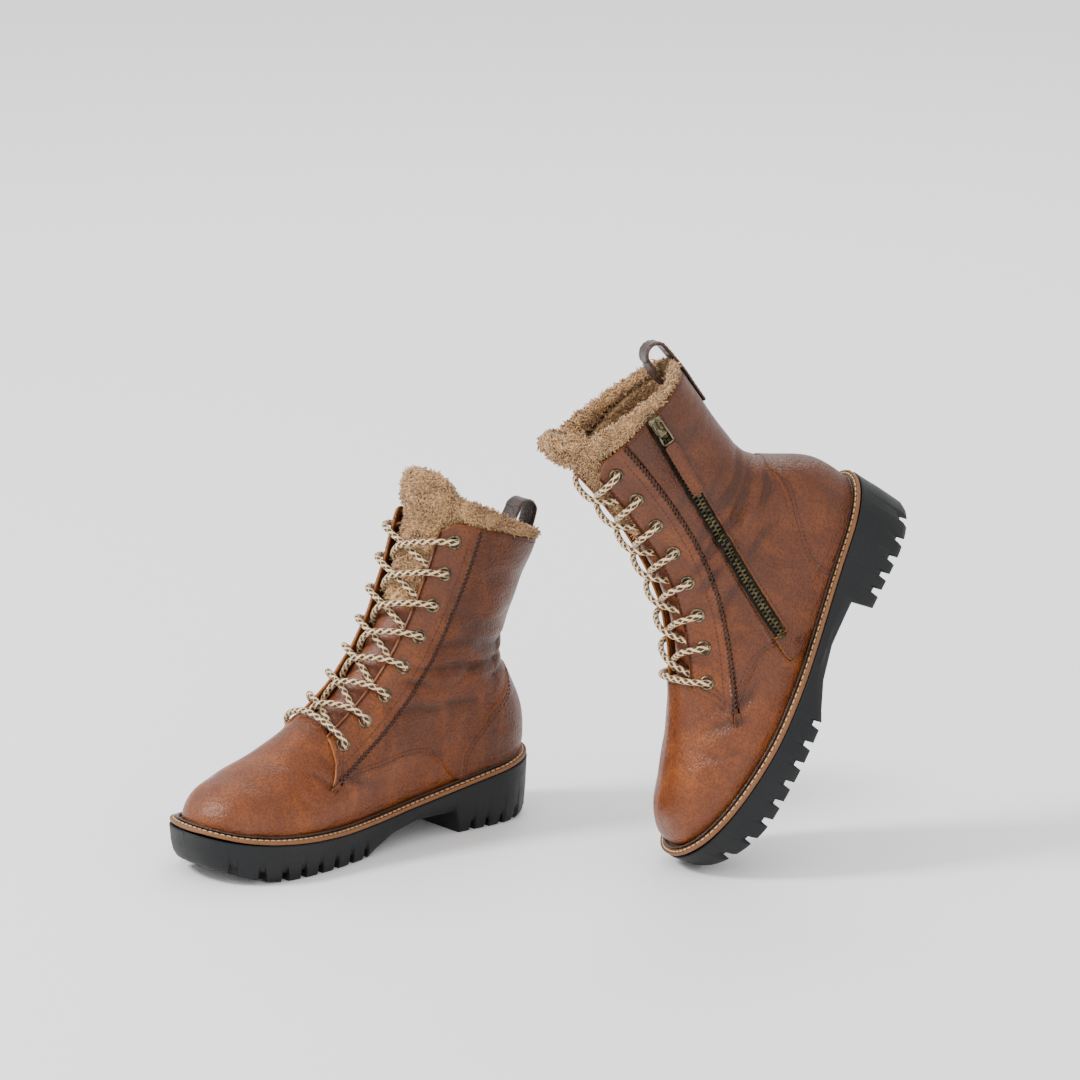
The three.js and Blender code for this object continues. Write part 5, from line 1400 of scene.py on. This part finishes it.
def pile_tree(finish, base_finish):
    """Geometry Nodes: locks of wool scattered over a skin, leaning every way."""
    tree = bpy.data.node_groups.new("wool_pile", "GeometryNodeTree")
    face = tree.interface
    face.new_socket(name="Skin", in_out="INPUT", socket_type="NodeSocketGeometry")
    shape = face.new_socket(name="Lock", in_out="INPUT", socket_type="NodeSocketObject")
    density = face.new_socket(name="Density", in_out="INPUT", socket_type="NodeSocketFloat")
    face.new_socket(name="Pile", in_out="OUTPUT", socket_type="NodeSocketGeometry")
    add, link = tree.nodes.new, tree.links.new
    start, end = add("NodeGroupInput"), add("NodeGroupOutput")
    info = add("GeometryNodeObjectInfo")
    scatter = add("GeometryNodeDistributePointsOnFaces")
    scatter.inputs["Seed"].default_value = 7
    grown = add("GeometryNodeInputNamedAttribute")
    grown.data_type = "FLOAT"
    grown.inputs["Name"].default_value = "grown"
    thick = add("ShaderNodeMath")
    thick.operation = "MULTIPLY"
    lean = add("FunctionNodeRandomValue")
    lean.data_type = "FLOAT_VECTOR"
    lean.inputs[0].default_value = (-0.75, -0.75, -3.14)
    lean.inputs[1].default_value = (0.75, 0.75, 3.14)
    lean.inputs["Seed"].default_value = 11
    to_turn = add("FunctionNodeEulerToRotation")
    size = add("FunctionNodeRandomValue")
    size.data_type = "FLOAT"
    size.inputs[2].default_value = 0.6
    size.inputs[3].default_value = 1.25
    size.inputs["Seed"].default_value = 23
    copies, spin = add("GeometryNodeInstanceOnPoints"), add("GeometryNodeRotateInstances")
    real, coat, coat_skin, whole = (add("GeometryNodeRealizeInstances"), add("GeometryNodeSetMaterial"),
                                    add("GeometryNodeSetMaterial"), add("GeometryNodeJoinGeometry"))
    coat.inputs["Material"].default_value = finish
    coat_skin.inputs["Material"].default_value = base_finish
    link(start.outputs[0], scatter.inputs["Mesh"])
    link(start.outputs[1], info.inputs["Object"])
    link(start.outputs[2], thick.inputs[0])
    link(grown.outputs["Attribute"], thick.inputs[1])
    link(thick.outputs[0], scatter.inputs["Density"])
    link(scatter.outputs["Points"], copies.inputs["Points"])
    link(scatter.outputs["Rotation"], copies.inputs["Rotation"])
    link(info.outputs["Geometry"], copies.inputs["Instance"])
    link(size.outputs[1], copies.inputs["Scale"])
    link(copies.outputs[0], spin.inputs["Instances"])
    link(lean.outputs[0], to_turn.inputs[0])
    link(to_turn.outputs[0], spin.inputs["Rotation"])
    link(spin.outputs[0], real.inputs[0])
    link(real.outputs[0], coat.inputs[0])
    link(start.outputs[0], coat_skin.inputs[0])
    link(coat.outputs[0], whole.inputs[0])
    link(coat_skin.outputs[0], whole.inputs[0])
    link(whole.outputs[0], end.inputs[0])
    return tree, shape.identifier, density.identifier


def wool_lock(length=5.6, radius=0.75, curl=1.5, rings=4, sides=3):
    points, faces = [], []
    for r in range(rings):
        share = r / rings
        a = share * 2.6
        centre = (curl * (1 - math.cos(a)), curl * 0.6 * math.sin(a * 1.6), length * (share - 0.12 * share ** 2) - 0.6)
        thick = radius * (1 - 0.55 * share)
        for k in range(sides):
            t = 2 * math.pi * k / sides + share
            points.append((centre[0] + thick * math.cos(t), centre[1] + thick * math.sin(t), centre[2]))
    points.append((curl * 1.75, curl * -0.2, length * 0.82))
    tip = len(points) - 1
    for r in range(rings - 1):
        for k in range(sides):
            n = (k + 1) % sides
            faces.append((r * sides + k, r * sides + n, (r + 1) * sides + n, (r + 1) * sides + k))
    for k in range(sides):
        faces.append(((rings - 1) * sides + k, (rings - 1) * sides + (k + 1) % sides, tip))
    faces.append(tuple(range(sides))[::-1])
    return points, faces


def woolly(name, points, faces, grown, density, lock, finish=SHEARLING, **kw):
    """A closed skin with wool growing where grown says, as one mesh."""
    skin_piece = build("wool_skin", points, outward_order(points, faces), finish, {"grown": grown})
    tree, shape_id, density_id = pile_tree(finish, finish)
    step = skin_piece.modifiers.new("pile", "NODES")
    step.node_group = tree
    step[shape_id] = lock
    step[density_id] = density
    wool_points, wool_faces = read_mesh(skin_piece)
    return both(name, wool_points, wool_faces, finish, **kw)


def wobble(points, size, amount):
    """Gentle lumps, the same every time."""
    p = points / size
    return amount * (np.sin(p[..., 0] * 1.3 + p[..., 1] * 2.1) + np.sin(p[..., 1] * 1.7 - p[..., 2] * 2.3 + 1.1)
                     + np.sin(p[..., 2] * 1.9 + p[..., 0] * 2.7 + 2.3)) / 3


LOCK = template("wool_lock_shape", *wool_lock(2.9, 0.9, 1.7))
SHORT_LOCK = template("short_lock_shape", *wool_lock(2.5, 0.85, 1.5))

gy, gz, gs, P = tongue_grid(TONGUE_JOIN + 0.04, TONGUE_TOP - 0.05, 21, 40, 41, 1.0)
proud = TONGUE_DEPTH + (1.8 - TONGUE_DEPTH) * smooth(P, TONGUE_JOIN + 2.5, TONGUE_JOIN + 3.5)
front = skin(gy, gz, gs, proud + 0.8, 0)
rear = skin(gy, gz, gs, proud + 5.2 + 4 * smooth(P, TONGUE_JOIN + 2.2, TONGUE_JOIN + 3.2), 0)
front += wobble(front, 3.6, 1.5)[..., None] * np.array([0, -1, 0.3])
rear += wobble(rear, 4, 1.2)[..., None] * np.array([0, 1, 0])
points = np.concatenate([front.reshape(-1, 3), rear.reshape(-1, 3)])
grown = np.concatenate([smooth(P, TONGUE_JOIN - 0.2, TONGUE_JOIN + 1.0).ravel(),
                        smooth(P, TONGUE_JOIN + 1.0, TONGUE_JOIN + 2.4).ravel()])
woolly("tongue_wool", points, slab_faces(*gy.shape), grown, 0.8, LOCK, nodes=["tongue_shearling"], slot="shearling",
       body="tongue")


def collar_roll():
    """Wool that rolls over the top of the shaft, from behind one facing round to the other."""
    u = np.linspace(0, 1, 60)
    start = np.array(fan(np.float64(COLLAR), np.float64(17.0)))
    eased = np.sin(np.pi / 2 * u)
    y0 = start[0] + (COLLAR_BACK[0] - start[0]) * eased
    z0 = start[1] + (COLLAR_BACK[1] - start[1]) * eased
    tall = 4 + 13 * np.clip(1 - u * 1.8, 0, 1) ** 1.2
    out = 0.3 - 0.2 * u
    section = []
    for k in range(14):
        a = 2 * math.pi * k / 14
        depth = 4.6 - (4.4 + out) * math.cos(a)
        lift = 1.4 + tall * (0.5 + 0.5 * math.sin(a))
        section.append((depth, lift))
    rings = []
    for side in (1, -1):
        ring = []
        for depth, lift in section:
            z = z0 + lift
            y = np.minimum(y0, back(z) - 0.02)
            ring.append(skin(y, z, np.full_like(y, side), depth, 0))
        ring = np.stack(ring, 1)
        rings.append(ring if side > 0 else ring[::-1][1:])
    ring = np.concatenate(rings)
    shrink = np.minimum(np.arange(len(ring)), np.arange(len(ring))[::-1])
    centre = ring.mean(1, keepdims=True)
    ring = centre + (ring - centre) * np.clip(0.45 + shrink * 0.14, 0, 1)[:, None, None]
    n, m = ring.shape[:2]
    points = ring.reshape(-1, 3)
    faces = [(r * m + k, r * m + (k + 1) % m, (r + 1) * m + (k + 1) % m, (r + 1) * m + k)
             for r in range(n - 1) for k in range(m)]
    faces += [tuple(range(m))[::-1], tuple((n - 1) * m + k for k in range(m))]
    return points, faces


points, faces = collar_roll()
points = points + wobble(points, 3.6, 1.1)[:, None] * [0.3, 0.3, 1.0]
woolly("collar_wool", points, faces, np.ones(len(points)), 0.75, SHORT_LOCK, nodes=["collar_shearling"], slot="shearling")


def lining():
    line = [np.array([-42, feather(-42.0) + 1]), np.array([-34, 54.0]), *[np.array(fan(np.float64(p), np.float64(i)))
            for p, i in ((4.7, 33), (5.5, 25), (7, 23), (9, 23), (COLLAR - 0.15, 23))]]
    front = curve_through(line, 300)
    v, u = uneven(46, 0.01), np.linspace(0, 1, 40)
    at = at_shares(front, v)
    z_back = feather(HEEL) + 1 + (COLLAR_BACK[1] - 1 - feather(HEEL) - 1) * v
    eased = np.sin(np.pi / 2 * u)[None]
    z = at[:, 1:] + (z_back[:, None] - at[:, 1:]) * eased
    y = at[:, :1] + (back(z) - 0.02 - at[:, :1]) * eased
    z = np.maximum(z, feather(y) + 1)
    y = np.minimum(y, back(z) - 0.02)
    return (np.concatenate([y, y[:, ::-1][:, 1:]], 1), np.concatenate([z, z[:, ::-1][:, 1:]], 1),
            np.concatenate([np.ones_like(y), -np.ones_like(y)[:, 1:]], 1))


ly, lz, ls = lining()
outer = skin(ly, lz, ls, 3.2, 1)
inner = skin(ly, lz, ls, 9.6, 0.5)
inner += wobble(inner, 6, 0.9)[..., None] * np.array([1.0, 0, 0]) * -np.sign(inner[..., :1])
points = np.concatenate([outer.reshape(-1, 3), inner.reshape(-1, 3)])
grown = np.concatenate([np.zeros(ly.size), smooth(lz, 120, 175).ravel()])
woolly("shaft_lining_wool", points, slab_faces(*ly.shape), grown, 0.32, SHORT_LOCK, FLEECE, nodes=["quarter_lining"],
       slot="shearling")

# Pile inside the toe, and the footbed
outer = skin(vy, vz, vs, 6.4, 0.6)
inner = skin(vy, vz, vs, 9.2, 0.4) + wobble(skin(vy, vz, vs, 9.2, 0), 5, 0.3)[..., None]
points = np.concatenate([outer.reshape(-1, 3), inner.reshape(-1, 3)])
both("vamp_lining_pile", points, outward_order(points, slab_faces(*vy.shape)), FLEECE, nodes=["vamp_lining"],
     slot="shearling")

y = lengthwise(70)
left_edge = skin(y, feather(y), -np.ones_like(y), 13.2, 0)
right_edge = skin(y, feather(y), np.ones_like(y), 13.2, 0)
u = uneven(17, 0.02)[None, :, None]
bed = left_edge[:, None] * (1 - u) + right_edge[:, None] * u
rise = np.sqrt(np.clip(1 - (2 * np.abs(u[..., 0] - 0.5)) ** 6, 0, 1)) * np.minimum(1, np.abs(right_edge[:, :1] / 6) + 0.2)
top, under = bed.copy(), bed.copy()
top[..., 2] = feather(bed[..., 1]) + 2.6 + 5.0 * rise + wobble(bed, 7, 0.4)
under[..., 2] = feather(bed[..., 1]) + 2.4
points = np.concatenate([top.reshape(-1, 3), under.reshape(-1, 3)])
grown = np.concatenate([np.ones(top[..., 0].size) * (top[..., 1].ravel() > -70), np.zeros(top[..., 0].size)])
woolly("footbed_wool", points, slab_faces(*top.shape[:2]), grown, 0.12, SHORT_LOCK, FLEECE, nodes=["footbed"],
       slot="shearling")

# ---------------------------------------------------------------- finishes of the solids that stay

STAYING = {"cork_filler": CORK, "shank": SHANK_STEEL, "insole_board": BOARD, "toe_puff": BOARD,
           "heel_stiffener": BOARD}
for side in SIDES:
    for node, finish in STAYING.items():
        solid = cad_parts[f"{side}_{node}"]
        for place in solid.material_slots:
            place.material = finish

# ---------------------------------------------------------------- floor, light, camera

floor_finish = Finish("pale_floor", solid=True)
floor_finish.set(colour=tone(254, 254, 254), rough=0.7, gloss=0.25)
mesh = bpy.data.meshes.new("floor")
mesh.from_pydata([(-30, -30, 0), (30, -30, 0), (30, 30, 0), (-30, 30, 0)], [], [(0, 1, 2, 3)])
mesh.materials.append(floor_finish.material)
floor = bpy.data.objects.new("floor", mesh)
scene.collection.objects.link(floor)

world = bpy.data.worlds.new("studio")
world.use_nodes = True
world.node_tree.nodes["Background"].inputs[0].default_value = (1, 1, 1, 1)
world.node_tree.nodes["Background"].inputs[1].default_value = 1.25
scene.world = world


def lamp(name, place, aim, power, size):
    data = bpy.data.lights.new(name, "AREA")
    data.energy, data.size = power, size
    lamp_object = bpy.data.objects.new(name, data)
    way = np.asarray(aim, float) - np.asarray(place, float)
    from mathutils import Vector
    lamp_object.rotation_euler = Vector(way).to_track_quat("-Z", "Y").to_euler()
    lamp_object.location = place
    scene.collection.objects.link(lamp_object)


lamp("key", (-1.2, -2.2, 2.4), (0, 0, 0.12), 105, 0.7)
lamp("fill", (2.8, -1.0, 1.6), (0, 0, 0.15), 16, 1.8)
lamp("rim", (-1.6, 1.8, 2.2), (0, 0, 0.2), 24, 1.2)

from mathutils import Matrix, Vector

camera_data = bpy.data.cameras.new("camera")
camera_data.lens, camera_data.sensor_width = 218.5, 36
camera_data.clip_end = 100
camera = bpy.data.objects.new("camera", camera_data)
scene.collection.objects.link(camera)
camera.location = (np.array([3340.6, -2605.8, 1308.7]) + RIGHT_PLACE) * 0.001
camera.rotation_euler = Vector((-0.7451, 0.6177, -0.2514)).to_track_quat("-Z", "Y").to_euler()
scene.camera = camera

low, high = cad_box
